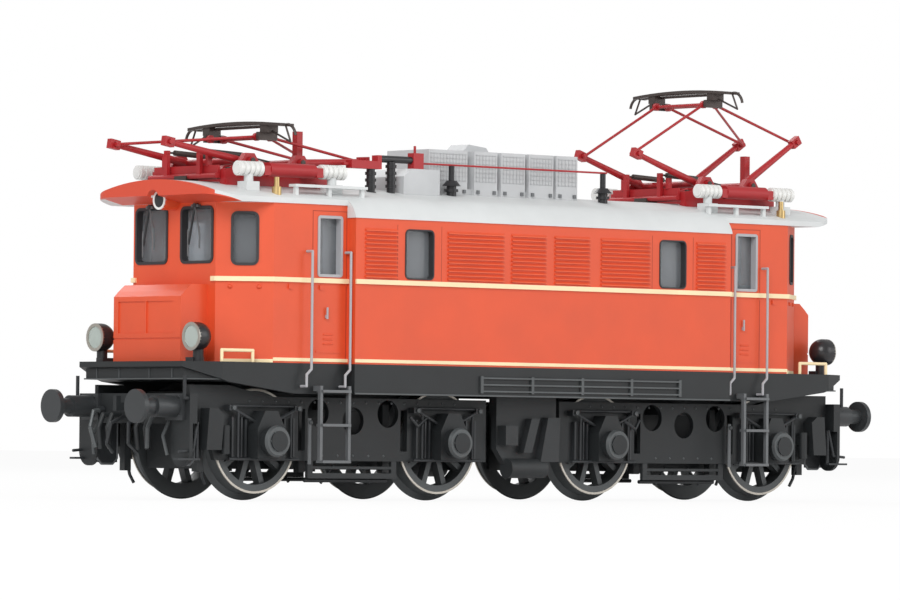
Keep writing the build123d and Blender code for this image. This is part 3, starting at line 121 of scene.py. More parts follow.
# Platforms: front, half width there, and the taper's end
PLATFORM_X = FRONT_X + 7.2
PLATFORM_HALF = 11.7
TAPER_X = FRONT_X + 2.3
TAPER_HALF = CAB_Y - 0.6
FASCIA_Z = (17.8, 19.6)

# Pantograph bases: middles along X, the lower arms' pins, springs and frame
PANTO_X = (-(MID_HALF_LENGTH + 8.8), MID_HALF_LENGTH + 7.4)
BASE_PIN_X = 4.8
BASE_PIN_Z = 50.2
SPRING_Y = 3.9
SPRING_Z = 51.5
SPRING_POST_X = -10.6
FRAME_FOOT_X = 8.6
FRAME_FOOT_Y = (7.3, 8.9)
CROSS_PIPE_Z = 47.8
CYLINDER_Z = 48.6


# Materials

CLOUD_SHARE = 0.25
SPECK_SHARE = 6
GLOSS_SPREAD = 0.06
BUMP_DEPTH = 0.1 * MM

# Paint edges of the visors: a slanting line at the corners, the front, and the underside
VISOR_LINE_SLOPE = 0.27
VISOR_LINE_Z = 27.9
VISOR_FRONT_X = FRONT_X + 3.4
VISOR_UNDER_X = FRONT_X + 0.1
VISOR_UNDER_Y = -12.5


def finish(name, colour, roughness=0.5, metallic=0.0, mottle=0.05, grain=500.0, bump=0.02, coat=0.0):
    """Opaque finish whose tone and gloss vary slightly over the surface."""
    mat = bpy.data.materials.new(name)
    mat.use_nodes = True
    nodes, links = mat.node_tree.nodes, mat.node_tree.links
    shader = nodes["Principled BSDF"]
    shader.inputs["Metallic"].default_value = metallic
    shader.inputs["Coat Weight"].default_value = coat
    shader.inputs["Coat Roughness"].default_value = 0.25
    where = nodes.new("ShaderNodeTexCoord")
    cloud = nodes.new("ShaderNodeTexNoise")
    cloud.inputs["Scale"].default_value = grain * CLOUD_SHARE
    cloud.inputs["Detail"].default_value = 4.0
    links.new(where.outputs["Object"], cloud.inputs["Vector"])
    ramp = nodes.new("ShaderNodeValToRGB")
    for stop, position, share in zip(ramp.color_ramp.elements, (0.3, 0.7), (1 - mottle, 1 + mottle)):
        stop.position = position
        stop.color = [min(1.0, c * share) for c in colour] + [1.0]
    links.new(cloud.outputs["Fac"], ramp.inputs["Fac"])
    links.new(ramp.outputs["Color"], shader.inputs["Base Color"])
    gloss = nodes.new("ShaderNodeMapRange")
    gloss.inputs["To Min"].default_value = max(0.02, roughness - GLOSS_SPREAD)
    gloss.inputs["To Max"].default_value = min(1.0, roughness + GLOSS_SPREAD)
    links.new(cloud.outputs["Fac"], gloss.inputs["Value"])
    links.new(gloss.outputs["Result"], shader.inputs["Roughness"])
    speck = nodes.new("ShaderNodeTexNoise")
    speck.inputs["Scale"].default_value = grain * SPECK_SHARE
    links.new(where.outputs["Object"], speck.inputs["Vector"])
    relief = nodes.new("ShaderNodeBump")
    relief.inputs["Strength"].default_value = bump
    relief.inputs["Distance"].default_value = BUMP_DEPTH
    links.new(speck.outputs["Fac"], relief.inputs["Height"])
    links.new(relief.outputs["Normal"], shader.inputs["Normal"])
    return mat


def clear(name, colour, through, roughness=0.03):
    """Clear plastic, slightly tinted and a little milky."""
    mat = finish(name, colour, roughness + 0.06, mottle=0.02, bump=0.0)
    shader = mat.node_tree.nodes["Principled BSDF"]
    shader.inputs["Transmission Weight"].default_value = through
    shader.inputs["IOR"].default_value = 1.3
    return mat


def visor_paint(name, roof, body):
    """Roof colour, with the body colour on the fronts, under them and below the line at the cab corners."""
    mat = finish(name, roof, 0.48)
    nodes, links = mat.node_tree.nodes, mat.node_tree.links
    shader = nodes["Principled BSDF"]
    plain = shader.inputs["Base Color"].links[0].from_socket
    split = nodes.new("ShaderNodeSeparateXYZ")
    links.new(nodes.new("ShaderNodeTexCoord").outputs["Object"], split.inputs["Vector"])

    def calc(operation, first, second=0.0):
        node = nodes.new("ShaderNodeMath")
        node.operation = operation
        for socket, value in zip(node.inputs, (first, second)):
            if isinstance(value, float):
                socket.default_value = value
            else:
                links.new(value, socket)
        return node.outputs["Value"]

    along = calc("ABSOLUTE", split.outputs["X"])
    side = calc("MULTIPLY", calc("SIGN", split.outputs["X"]), split.outputs["Y"])
    line = calc("ADD", calc("MULTIPLY", along, VISOR_LINE_SLOPE), VISOR_LINE_Z * MM)
    below = calc("MULTIPLY", calc("LESS_THAN", split.outputs["Z"], line), calc("GREATER_THAN", side, 0.0))
    facing = nodes.new("ShaderNodeSeparateXYZ")
    links.new(nodes.new("ShaderNodeTexCoord").outputs["Normal"], facing.inputs["Vector"])
    down = calc("LESS_THAN", facing.outputs["Z"], -0.5)
    under = calc("MULTIPLY", down, calc("GREATER_THAN", along, VISOR_UNDER_X * MM))
    under = calc("MULTIPLY", under, calc("GREATER_THAN", side, VISOR_UNDER_Y * MM))
    front = calc("GREATER_THAN", along, VISOR_FRONT_X * MM)
    mask = calc("MAXIMUM", calc("MAXIMUM", front, below), under)
    mix = nodes.new("ShaderNodeMix")
    mix.data_type = "RGBA"
    links.new(mask, mix.inputs[0])
    links.new(plain, mix.inputs[6])
    mix.inputs[7].default_value = (*body, 1.0)
    links.new(mix.outputs[2], shader.inputs["Base Color"])
    return mat


RED = finish("body_red", (0.74, 0.088, 0.026), 0.48, coat=0.06)
CREAM = finish("cream_paint", (0.95, 0.78, 0.48), 0.45)
ROOF_GREY = finish("roof_grey", (0.68, 0.70, 0.70), 0.5)
FRAME_BLACK = finish("frame_black", (0.016, 0.0185, 0.020), 0.55, mottle=0.2)
DARK_GREY = finish("dark_grey", (0.026, 0.029, 0.031), 0.55, mottle=0.2)
LADDER_GREY = finish("ladder_grey", (0.15, 0.158, 0.165), 0.45, 0.2, mottle=0.1)
INNER_GREY = finish("inner_grey", (0.36, 0.40, 0.43), 0.7, mottle=0.08)
MOTOR_GREY = finish("motor_grey", (0.10, 0.10, 0.11), 0.55, 0.6, mottle=0.1)
STEEL_BRIGHT = finish("tyre_steel", (0.50, 0.47, 0.42), 0.35, 1.0)
WHEEL_GREY = finish("wheel_grey", (0.085, 0.092, 0.095), 0.45, 0.3)
RAIL_GREY = finish("handrail_grey", (0.42, 0.42, 0.44), 0.4)
BUFFER_GREY = finish("buffer_grey", (0.05, 0.054, 0.057), 0.4, 0.3)
PANTO_RED = finish("panto_red", (0.40, 0.014, 0.018), 0.45, coat=0.05)
WHITE = finish("insulator_white", (0.80, 0.80, 0.78), 0.25)
BLACK = finish("insulator_black", (0.02, 0.02, 0.022), 0.3)
RESISTOR = finish("resistor_grey", (0.54, 0.55, 0.56), 0.5, mottle=0.08)
HEAD_DARK = finish("head_dark", (0.075, 0.06, 0.055), 0.45, 0.4)
BRASS = finish("brass", (0.72, 0.52, 0.24), 0.32, 1.0)
GLASS = clear("window_clear", (0.56, 0.59, 0.62), 0.78)
# Headlamp lenses only partly see-through and pale silver-green: a tinted lens, plus a painted reflection of
# the lit reflector behind it
LENS = clear("lens_clear", (0.66, 0.74, 0.69), 0.35)
VISOR = visor_paint("visor_paint", (0.68, 0.70, 0.70), (0.66, 0.07, 0.03))
RUBBER = finish("rubber", (0.03, 0.03, 0.033), 0.6)
WIPER_GREY = finish("wiper_grey", (0.14, 0.145, 0.15), 0.45, 0.2)
# Lighter red for the louvres' lower edges: a painted highlight, not a paint colour of the body
RED_HIGHLIGHT = finish("body_red_painted_highlight", (0.82, 0.15, 0.06), 0.5)
SEAM = finish("seam_shadow", (0.42, 0.05, 0.02), 0.6)
# Headlamp reflectors in a pale diffuse, non-metallic tone: a painted reflection of the bright surround
# instead of a mirror finish
PAINTED_REFLECTOR = finish("reflector", (0.66, 0.72, 0.68), 0.3, 0.0)
IRON = finish("ironwork", (0.030, 0.033, 0.036), 0.45, 0.1, mottle=0.2)
# Lighter grey iron for bolts, covers, hoses, pipe racks and edge lips: painted highlight where light catches
# these raised parts
IRON_HIGHLIGHT = finish("ironwork_painted_highlight", (0.085, 0.093, 0.096), 0.42, 0.2, mottle=0.15)
MESH_GREY = finish("mesh_grey", (0.52, 0.53, 0.54), 0.5)

# Looks of the CAD's material slots, then of single nodes that differ from their slot
LOOKS = {
    "body_red": RED,
    "cream": CREAM,
    "roof_grey": ROOF_GREY,
    "frame_black": FRAME_BLACK,
    "dark_grey": DARK_GREY,
    "inner_grey": INNER_GREY,
    "motor_grey": MOTOR_GREY,
    "clear": GLASS,
    "wheel_steel": WHEEL_GREY,
    "steel": RAIL_GREY,
    "panto_red": PANTO_RED,
    "insulator_white": WHITE,
    "insulator_black": BLACK,
    "resistor_grey": RESISTOR,
    "head_dark": HEAD_DARK,
    "brass": BRASS,
    "lamp_black": BLACK,
}
NODE_LOOKS = {
    "lamp_lenses": LENS,
    "visor_a": VISOR,
    "visor_b": VISOR,
    "roof": VISOR,
    "buffers_a": BUFFER_GREY,
    "buffers_b": BUFFER_GREY,
    "ladders": LADDER_GREY,
    # Pipe racks in the lighter grey iron of painted highlight
    "pipe_racks": IRON_HIGHLIGHT,
}

for sub in frame["record"]["subparts"]:
    node = frame["nodes"][sub["node"]]
    look = NODE_LOOKS.get(sub["node"], LOOKS[sub["material_slot"]])
    if not node.material_slots:
        node.data.materials.append(look)
    for place in node.material_slots:
        place.material = look


# Tools for the detail pieces

class Piece:
    """A detail piece gathered from simple shapes and carried by one body."""

    def __init__(self, name, look, body=ROOT):
        self.name = name
        self.look = look
        self.body = body
        self.mesh = bmesh.new()

    def block(self, x0, x1, y0, y1, z0, z1):
        """Box between two corners."""
        corners = [Vector((x, y, z)) for x in (x0, x1) for y in (y0, y1) for z in (z0, z1)]
        verts = [self.mesh.verts.new(c) for c in corners]
        for face in ((0, 1, 3, 2), (4, 6, 7, 5), (0, 4, 5, 1), (2, 3, 7, 6), (0, 2, 6, 4), (1, 5, 7, 3)):
            self.mesh.faces.new([verts[i] for i in face])

    def rod(self, start, end, radius, sides=10, tip=None):
        """Round bar between two points, tapered when a tip radius is given."""
        start, end = Vector(start), Vector(end)
        axis = end - start
        spin = axis.to_track_quat("Z", "Y").to_matrix().to_4x4()
        place = Matrix.Translation((start + end) / 2) @ spin
        far = radius if tip is None else tip
        shape = {"segments": sides, "radius1": radius, "radius2": far, "depth": axis.length}
        bmesh.ops.create_cone(self.mesh, cap_ends=True, matrix=place, **shape)

    def tube(self, points, radius, sides=8):
        """Round bar through several points, with a ball at each bend."""
        for start, end in zip(points, points[1:]):
            self.rod(start, end, radius, sides)
        for point in points[1:-1]:
            place = Matrix.Translation(point)
            bmesh.ops.create_icosphere(self.mesh, subdivisions=1, radius=radius, matrix=place)

    def dome(self, centre, radius, flat=(1, 1, 1)):
        """Ball, flattened along the axes by the given factors."""
        place = Matrix.Translation(centre) @ Matrix.Diagonal((*flat, 1))
        bmesh.ops.create_uvsphere(self.mesh, u_segments=10, v_segments=6, radius=radius, matrix=place)

    def ring(self, centre, normal, inner, outer, depth, sides=28):
        """Flat ring that stands proud of a surface by its depth."""
        angles = [2 * math.pi * index / sides for index in range(sides)]
        edges = [[(radius * math.cos(a), radius * math.sin(a)) for a in angles] for radius in (inner, outer)]
        self.band(centre, normal, edges[0], edges[1], depth)

    def frame(self, centre, normal, width, height, corner, rim, lap, depth):
        """Rounded window frame: it laps over the opening's edge and lines the opening's sides."""
        inner, outer = rounded(width, height, corner, -lap), rounded(width, height, corner, rim)
        self.band(centre, normal, inner, outer, depth, 0.98)

    def band(self, centre, normal, inner, outer, depth, sink=0.2):
        """Closed band between two outlines, proud of a surface by its depth, its inner edge sunk in."""
        normal = Vector(normal).normalized()
        side = Vector((0, 0, 1)).cross(normal).normalized()
        up = normal.cross(side)
        rows = []
        for outline, level in ((inner, -sink), (inner, depth), (outer, depth), (outer, -0.2)):
            places = [Vector(centre) + side * a + up * b + normal * level for a, b in outline]
            rows.append([self.mesh.verts.new(place) for place in places])
        count = len(inner)
        for low, high in zip(rows, rows[1:] + rows[:1]):
            for i in range(count):
                j = (i + 1) % count
                self.mesh.faces.new((low[i], low[j], high[j], high[i]))

    def prism(self, outline, bottom, top):
        """Upright prism over an outline of X and Y places."""
        low = [self.mesh.verts.new((x, y, bottom)) for x, y in outline]
        high = [self.mesh.verts.new((x, y, top)) for x, y in outline]
        self.mesh.faces.new(low)
        self.mesh.faces.new(high)
        for i in range(len(outline)):
            j = (i + 1) % len(outline)
            self.mesh.faces.new((low[i], low[j], high[j], high[i]))

    def turn(self):
        """Adds the same shapes turned half round, for the other end."""
        parts = self.mesh.verts[:] + self.mesh.edges[:] + self.mesh.faces[:]
        made = bmesh.ops.duplicate(self.mesh, geom=parts)["geom"]
        verts = [item for item in made if isinstance(item, bmesh.types.BMVert)]
        bmesh.ops.transform(self.mesh, matrix=TURN, verts=verts)

    def ride(self, place=None, tail="", body=None):
        """Makes the object, optionally moved to the other end, and hangs it on its body."""
        data = bpy.data.meshes.new(self.name + tail)
        work = self.mesh.copy()
        if place is not None:
            bmesh.ops.transform(work, matrix=place, verts=work.verts[:])
        bmesh.ops.recalc_face_normals(work, faces=work.faces[:])
        bmesh.ops.transform(work, matrix=Matrix.Scale(MM, 4), verts=work.verts[:])
        work.to_mesh(data)
        work.free()
        for face in data.polygons:
            face.use_smooth = True
        data.set_sharp_from_angle(angle=math.radians(32))
        data.materials.append(self.look)
        made = bpy.data.objects.new(self.name + tail, data)
        bpy.context.scene.collection.objects.link(made)
        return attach(made, body or self.body)


def rounded(width, height, corner, grow):
    """Outline of a rounded rectangle, grown by a margin."""
    reach = max(0.05, corner + grow)
    outline = []
    for quarter, (sx, sz) in enumerate(((1, 1), (-1, 1), (-1, -1), (1, -1))):
        for step in range(5):
            angle = (quarter + step / 4) * math.pi / 2
            a = sx * (width / 2 - corner) + reach * math.cos(angle)
            b = sz * (height / 2 - corner) + reach * math.sin(angle)
            outline.append((a, b))
    return outline


def middle_of(span):
    """Place halfway between the ends of a span."""
    return (span[0] + span[1]) / 2


def length_of(span):
    """Distance between the ends of a span."""
    return span[1] - span[0]


def turn_and_ride(*pieces):
    """Repeats the pieces' shapes at the other end and hangs them on the body."""
    for piece in pieces:
        piece.turn()
        piece.ride()


# Body trim

def window_frames():
    """Rubber frames of the cab and machine room windows, bright frames of the door windows."""
    rubber = Piece("window_rubbers", RUBBER)
    size = (MID_WINDOW_WIDTH, length_of(MID_WINDOW_Z), WINDOW_CORNER)
    for way in (-1, 1):
        place = (way * MID_WINDOW_X, -MID_Y, middle_of(MID_WINDOW_Z))
        rubber.frame(place, (0, -1, 0), *size, rim=0.12, lap=0.1, depth=0.1)
    for side in (-1, 1):
        place = (-FRONT_X, side * FRONT_WINDOW_Y, middle_of(FRONT_WINDOW_Z))
        size = (FRONT_WINDOW_WIDTH, length_of(FRONT_WINDOW_Z), WINDOW_CORNER)
        rubber.frame(place, (-1, 0, 0), *size, rim=0.3, lap=0.12, depth=0.15)
        place = (-FACET_MID[0], side * FACET_MID[1], middle_of(FACET_WINDOW_Z))
        facing = (-FACET_OUT[0], side * FACET_OUT[1], 0)
        size = (FACET_WINDOW_WIDTH, length_of(FACET_WINDOW_Z), WINDOW_CORNER)
        rubber.frame(place, facing, *size, rim=0.28, lap=0.12, depth=0.15)
    bright = Piece("door_window_frames", RAIL_GREY)
    for window in DOOR_WINDOWS:
        place = (middle_of(window), -CAB_Y, middle_of(DOOR_WINDOW_Z))
        size = (length_of(window), length_of(DOOR_WINDOW_Z), DOOR_WINDOW_CORNER)
        bright.frame(place, (0, -1, 0), *size, rim=0.3, lap=0.12, depth=0.15)
    turn_and_ride(rubber, bright)


def sill_band_ends():
    """Cream band above the sill, carried round the slanting corners of the cabs."""
    strip = Piece("sill_band_ends", CREAM)
    proud = 0.15
    share = 0.86
    for side in (-1, 1):
        out = Vector((-FACET_OUT[0], side * FACET_OUT[1], 0)).normalized() * proud
        start = Vector((-FACET_X, side * CAB_Y, 0))
        end = start + Vector((FACET_X - FRONT_X, side * (FRONT_HALF - CAB_Y), 0)) * share
        outline = [(v.x, v.y) for v in (start, end, end + out, start + out)]
        strip.prism(outline, SILL_TOP, SILL_TOP + SILL_BAND_HEIGHT)
    turn_and_ride(strip)


def wiper_arms():
    """Arms, blades and motor covers of the wipers on the front windows."""
    wiper = Piece("wiper_arms", WIPER_GREY)
    arm_x = -FRONT_X - 0.5
    blade_x = -FRONT_X - 0.62
    pin_z = FRONT_WINDOW_Z[1] + 0.3
    for side in (-1, 1):
        y = side * FRONT_WINDOW_Y
        wiper.rod((arm_x, y, pin_z), (arm_x, y - 1.3, 38.4), 0.13, 8)
        for offset, top, foot in ((1.4, 39.8, 35.9), (-1.3, 40.2, 37.0)):
            wiper.rod((blade_x, y + offset, top), (blade_x, y + offset, foot), 0.12, 8)
        wiper.block(-FRONT_X - 0.6, -FRONT_X, y - 0.8, y + 0.8, pin_z - 0.2, pin_z + 0.2)
    turn_and_ride(wiper)


def wall_trim():
    """Seams, slots and handles of the doors, wall seams, brackets and the bolts at the cab corners."""
    seams = Piece("door_seams", SEAM)
    handles = Piece("door_handles", RAIL_GREY)
    fittings = Piece("body_fittings", RED)
    seam_half = 0.07
    seam_y = (-CAB_Y - 0.02, -CAB_Y + 0.1)
    for start, end in DOORS:
        for x in (start, end):
            for foot, top in ((DOOR_Z[0], WAIST_GAP[0]), (WAIST_GAP[1], DOOR_Z[1])):
                seams.block(x - seam_half, x + seam_half, *seam_y, foot, top)
        seams.block(start, end, *seam_y, DOOR_Z[1] - 0.1, DOOR_Z[1] + 0.02)
        middle = (start + end) / 2
        for index in range(DOOR_SLOTS):
            z = DOOR_Z[0] + 2.2 + index * DOOR_SLOT_PITCH
            fittings.rod((middle - 1.1, seam_y[0], z), (middle + 0.7, seam_y[0], z), 0.12, 6)
        fittings.block(start + 0.7, end - 0.7, -CAB_Y - 0.1, -CAB_Y, DOOR_Z[0] + 0.9, DOOR_Z[0] + 1.2)
        handles.block(middle - 0.75, middle - 0.45, -CAB_Y - 0.3, -CAB_Y, 27.0, 27.5)
        grip = (middle - 0.6, -CAB_Y - 0.35)
        handles.rod((*grip, 26.9), (*grip, 28.6), 0.16, 8)
    for x in (-43.6, -49.5, 49.5):
        fittings.block(x - 0.35, x + 0.35, -CAB_Y - 0.25, -CAB_Y, WAIST_GAP[0] - 0.6, WAIST_GAP[0] + 0.05)
    for way in (-1, 1):
        for place in WALL_SEAMS:
            x = way * place
            seams.block(x - 0.05, x + 0.05, -MID_Y - 0.015, -MID_Y + 0.1, *WALL_SEAM_Z)
    for side in (-1, 1):
        for share in (0.25, 0.75):
            x = -FACET_X - (FRONT_X - FACET_X) * share
            y = side * (CAB_Y + (FRONT_HALF - CAB_Y) * share)
            fittings.dome((x, y, WAIST_GAP[0] - 0.4), 0.4, (1, 1, 0.8))
    turn_and_ride(seams, handles, fittings)


def louvre_highlights():
    """Lower edges of the louvres in a lighter red than the wall: a painted highlight where the light catches
    them.
    """
    edges = Piece("louvre_highlights", RED_HIGHLIGHT)
    for start, end in LOUVRE_PANELS:
        for row in range(LOUVRE_COUNT):
            z = LOUVRE_BOTTOM_Z + row * LOUVRE_PITCH
            edges.block(start, end, -MID_Y - 0.34, -MID_Y - 0.2, z + 0.01, z + 0.1)
    turn_and_ride(edges)


def lamp_trim():
    """Rims and reflectors of the headlamps, the reflectors pale as a painted reflection, rings and dark
    glasses of the top lamps.
    """
    rims = Piece("lamp_rims", STEEL_BRIGHT)
    bowls = Piece("lamp_reflectors", PAINTED_REFLECTOR)
    for y in (-LAMP_Y, LAMP_Y):
        rims.ring((-LAMP_X, y, LAMP_Z), (-1, 0, 0), LAMP_RADIUS - 0.48, LAMP_RADIUS, depth=0.12)
        bowls.rod((-LAMP_X + 0.52, y, LAMP_Z), (-LAMP_X + 0.58, y, LAMP_Z), LAMP_RADIUS - 0.44, 24)
        bowls.dome((-LAMP_X + 0.5, y, LAMP_Z), 0.35, (0.3, 1, 1))
    rings = Piece("top_lamp_rings", WHITE)
    rings.ring((-TOP_LAMP_X, 0, TOP_LAMP_Z), (-1, 0, 0), TOP_LAMP_RADIUS - 0.35, TOP_LAMP_RADIUS, depth=0.12)
    glasses = Piece("top_lamp_glasses", BLACK)
    front, back = -TOP_LAMP_X - 0.06, -TOP_LAMP_X + 0.1
    glasses.rod((front, 0, TOP_LAMP_Z), (back, 0, TOP_LAMP_Z), TOP_LAMP_RADIUS - 0.33, 24)
    turn_and_ride(rims, bowls, rings, glasses)


def resistor_trim():
    """Feet and mesh of the resistor boxes, on both long faces."""
    feet = Piece("resistor_feet", LADDER_GREY)
    mesh = Piece("resistor_mesh", MESH_GREY)
    bar_half = 0.05
    for start, end in RESISTOR_BOXES:
        first, last = start + 0.4, end - 0.4
        count = int((end - start - 0.8) / MESH_COLUMN_PITCH)
        for low in (RESISTOR_Y[0] - MESH_LAYER, RESISTOR_Y[1]):
            high = low + MESH_LAYER
            bar_y = (low + 0.07, high - 0.02)
            for x in (start + 0.7, end - 0.7):
                feet.block(x - 0.25, x + 0.25, low - 0.1, high + 0.1, *RESISTOR_FOOT_Z)
            for index in range(count + 1):
                x = first + index * (last - first) / count
                mesh.block(x - bar_half, x + bar_half, *bar_y, *MESH_Z)
            for index in range(MESH_ROWS):
                z = MESH_Z[0] + 0.1 + index * MESH_ROW_PITCH
                mesh.block(first - bar_half, last + bar_half, *bar_y, z - bar_half, z + bar_half)
    feet.ride()
    mesh.ride()


# Running gear trim

def axle_guard(iron, bolts, axle, side):
    """Straps, braces and hanger blocks on the side plate round one axle box."""
    plate = side * PLATE_Y
    out = plate + side * 1.0
    strap_y = sorted((plate - side * 0.05, plate + side * 0.7))
    block_y = sorted((plate, plate + side * 1.3))
    for way in (-1, 1):
        hanger = axle + way * 6.2
        iron.rod((hanger, out, 13.6), (axle + way * 1.4, out, 11.4), 0.24)
        iron.rod((axle + way * 5.0, out, 12.9), (axle + way * 5.0, out, 6.3), 0.2)
        for reach in (3.3, 4.1, 5.8):
            x = axle + way * reach
            iron.block(x - 0.16, x + 0.16, *strap_y, 6.4, 12.2)
        iron.block(hanger - 0.7, hanger + 0.7, *block_y, 13.2, 14.0)
        bolts.rod((hanger, out, 13.6), (hanger, plate + side * 1.55, 13.6), 0.35, 6)
    for half, proud, z, radius in ((6.6, 0.8, 6.1, 0.22), (6.2, 0.9, 13.9, 0.18)):
        y = plate + side * proud
        iron.rod((axle - half, y, z), (axle + half, y, z), radius)


def axlebox_cover(bolts, axle, side):
    """Round cover of one axle box with its bolts and boss."""
    base = side * COVER_Y
    face = side * (COVER_Y + 0.3)
    bolts.rod((axle, base, AXLE_Z), (axle, side * (COVER_Y + 0.45), AXLE_Z), 2.35, 28, 2.1)
    for index in range(COVER_BOLTS):
        angle = 2 * math.pi * index / COVER_BOLTS
        x = axle + COVER_BOLT_CIRCLE * math.cos(angle)
        z = AXLE_Z + COVER_BOLT_CIRCLE * math.sin(angle)
        bolts.rod((x, face, z), (x, side * (COVER_Y + 0.6), z), 0.2, 6)
    bolts.rod((axle, face, AXLE_Z), (axle, side * (COVER_Y + 0.65), AXLE_Z), 0.75, 16, 0.6)


def bogie_details(turn, tail):
    """Axle guards, cover bolts, rivets, posts, brake rods and pipes of one bogie."""
    iron = Piece("bogie_ironwork", IRON, "bogie" + tail)
    # Covers, bolts and rivets in the lighter grey iron of painted highlight
    bolts = Piece("bogie_bolts", IRON_HIGHLIGHT, "bogie" + tail)
    post = Piece("bogie_posts", LADDER_GREY, "bogie" + tail)
    pivot = -PIVOT_X
    post_x = pivot - 9.1
    for side in (-1, 1):
        plate = side * PLATE_Y
        for axle in (pivot - HALF_BASE, pivot + HALF_BASE):
            axle_guard(iron, bolts, axle, side)
            axlebox_cover(bolts, axle, side)
        for count, first, pitch, z in ((17, -20.0, 2.5, 14.6), (5, -6.0, 3.0, 6.7)):
            for index in range(count):
                bolts.dome((pivot + first + index * pitch, plate, z), 0.2, (1, 0.7, 1))
        post.rod((post_x, plate + side * 0.8, 5.4), (post_x, plate + side * 0.8, 12.2), 0.3)
        bolts.dome((post_x, plate + side * 1.1, 11.6), 0.35)
        brake = side * BRAKE_ROD_Y
        iron.rod((pivot - 8.0, brake, BRAKE_ROD_Z), (pivot + 8.0, brake, BRAKE_ROD_Z), 0.3)
        iron.rod((pivot + 2.4, brake, 5.2), (pivot + 4.8, brake, 2.6), 0.22)
        iron.rod((pivot - 4.8, brake, 2.6), (pivot - 2.4, brake, 5.2), 0.22)
        sand_pipe = ((-26.0, 9.6, 13.4), (-27.4, 9.4, 9.0), (-26.6, 8.6, 3.6), (-25.9, 8.5, 2.4))
        inner_pipe = ((10.4, 12.2, 12.6), (11.6, 12.6, 11.2), (13.6, 12.2, 12.4))
        for route in (sand_pipe, inner_pipe):
            iron.tube([(pivot + x, side * y, z) for x, y, z in route], 0.25)
    for piece in (iron, bolts, post):
        piece.ride(turn, tail)


def end_details(turn, tail):
    """Hoses, rail guards, steps and bolts at the buffer beam of one bogie."""
    iron = Piece("beam_ironwork", IRON, "bogie" + tail)
    # Hoses in the lighter grey iron of painted highlight
    hose = Piece("brake_hoses", IRON_HIGHLIGHT, "bogie" + tail)
    edge = Piece("rail_guard_edges", LADDER_GREY, "bogie" + tail)
    face = -BEAM_FACE_X

    def route(piece, side, points, radius):
        piece.tube([(face + x, side * y, z) for x, y, z in points], radius)

    for side in (-1, 1):
        route(iron, side, ((-0.4, 1.9, 12.2), (-2.6, 2.1, 11.2), (-3.0, 2.6, 8.2), (-1.6, 2.9, 6.9)), 0.28)
        route(hose, side, ((0, 8.4, 11.6), (-1.2, 8.4, 9.4), (-0.6, 8.8, 6.6)), 0.26)
        route(hose, side, ((0, 7.2, 13.2), (-1.9, 7.3, 13.0), (-2.8, 6.9, 10.6), (-2.3, 6.2, 7.6)), 0.32)
        iron.rod((face - 0.2, side * 7.2, 13.2), (face - 1.0, side * 7.2, 13.2), 0.5, 12)
        route(iron, side, ((0.2, 12.8, 14.9), (-0.7, 12.8, 14.9), (-0.7, 12.8, 18.2)), 0.27)
        guard_y = sorted((side * (GUARD_Y - 0.12), side * (GUARD_Y + 0.12)))
        iron.block(face + 0.4, face + 4.0, *guard_y, 5.4, 13.4)
        rim = ((0.3, 13.4), (0.3, 6.0), (1.1, 5.2), (3.2, 5.2), (4.0, 6.0), (4.0, 12.6))
        route(edge, side, [(x, GUARD_Y, z) for x, z in rim], 0.2)
        route(iron, side, ((2.0, 12.6, 11.4), (1.0, 12.8, 7.3), (-1.6, 12.6, 7.1)), 0.22)
        iron.block(face - 1.9, face + 2.2, side * STEP_Y[0], side * STEP_Y[1], 5.85, 6.15)
        step = (face + 2.0, side * middle_of(STEP_Y))
        iron.rod((*step, 11.4), (*step, 6.0), 0.28)
        for y in (9.0, 11.2):
            for z in (12.3, 15.1):
                iron.dome((face - 0.5, side * y, z), 0.22, (0.7, 1, 1))
    for piece in (iron, hose, edge):
        piece.ride(turn, tail)


def wheel_trim():
    """Bright edges of the eight tyres."""
    for number, axle in enumerate(AXLES, 1):
        tyre = Piece("tyres", STEEL_BRIGHT, "wheelset_%d" % number)
        for side in (-1, 1):
            tyre.ring((axle, side * WHEEL_FACE_Y, AXLE_Z), (0, side, 0), *TYRE_RADII, depth=0.04, sides=56)
        tyre.ride(tail="_%d" % number)


def platform_trim():
    """Fascia under the edge of both platforms, with a lighter lip below it and a lighter lip along the
    skirts: both lips are painted highlight on the edges.
    """
    fascia = Piece("platform_fascia", FRAME_BLACK)
    lip = Piece("platform_lip", IRON_HIGHLIGHT)
    bottom, top = FASCIA_Z
    front, half = -PLATFORM_X, PLATFORM_HALF
    taper, wide = -TAPER_X, TAPER_HALF
    fascia.prism([(front, -half), (front, half), (taper, wide), (taper, -wide)], bottom, top)
    front, half = -PLATFORM_X - 0.25, PLATFORM_HALF + 0.2
    taper, wide = -TAPER_X + 0.2, TAPER_HALF + 0.25
    lip.prism([(front, -half), (front, half), (taper, wide), (taper, -wide)], bottom - 0.15, bottom + 0.05)
    for y in (-9.0, -3.6, 3.6, 9.0):
        lip.block(-PLATFORM_X - 0.1, -PLATFORM_X + 0.1, y - 0.08, y + 0.08, bottom + 0.1, top - 0.3)
    skirt_y = (-MID_Y - 0.15, -MID_Y + 0.05)
    lip.block(-MID_HALF_LENGTH, MID_HALF_LENGTH, *skirt_y, SILL_BOTTOM + 0.02, SILL_BOTTOM + 0.25)
    turn_and_ride(fascia, lip)


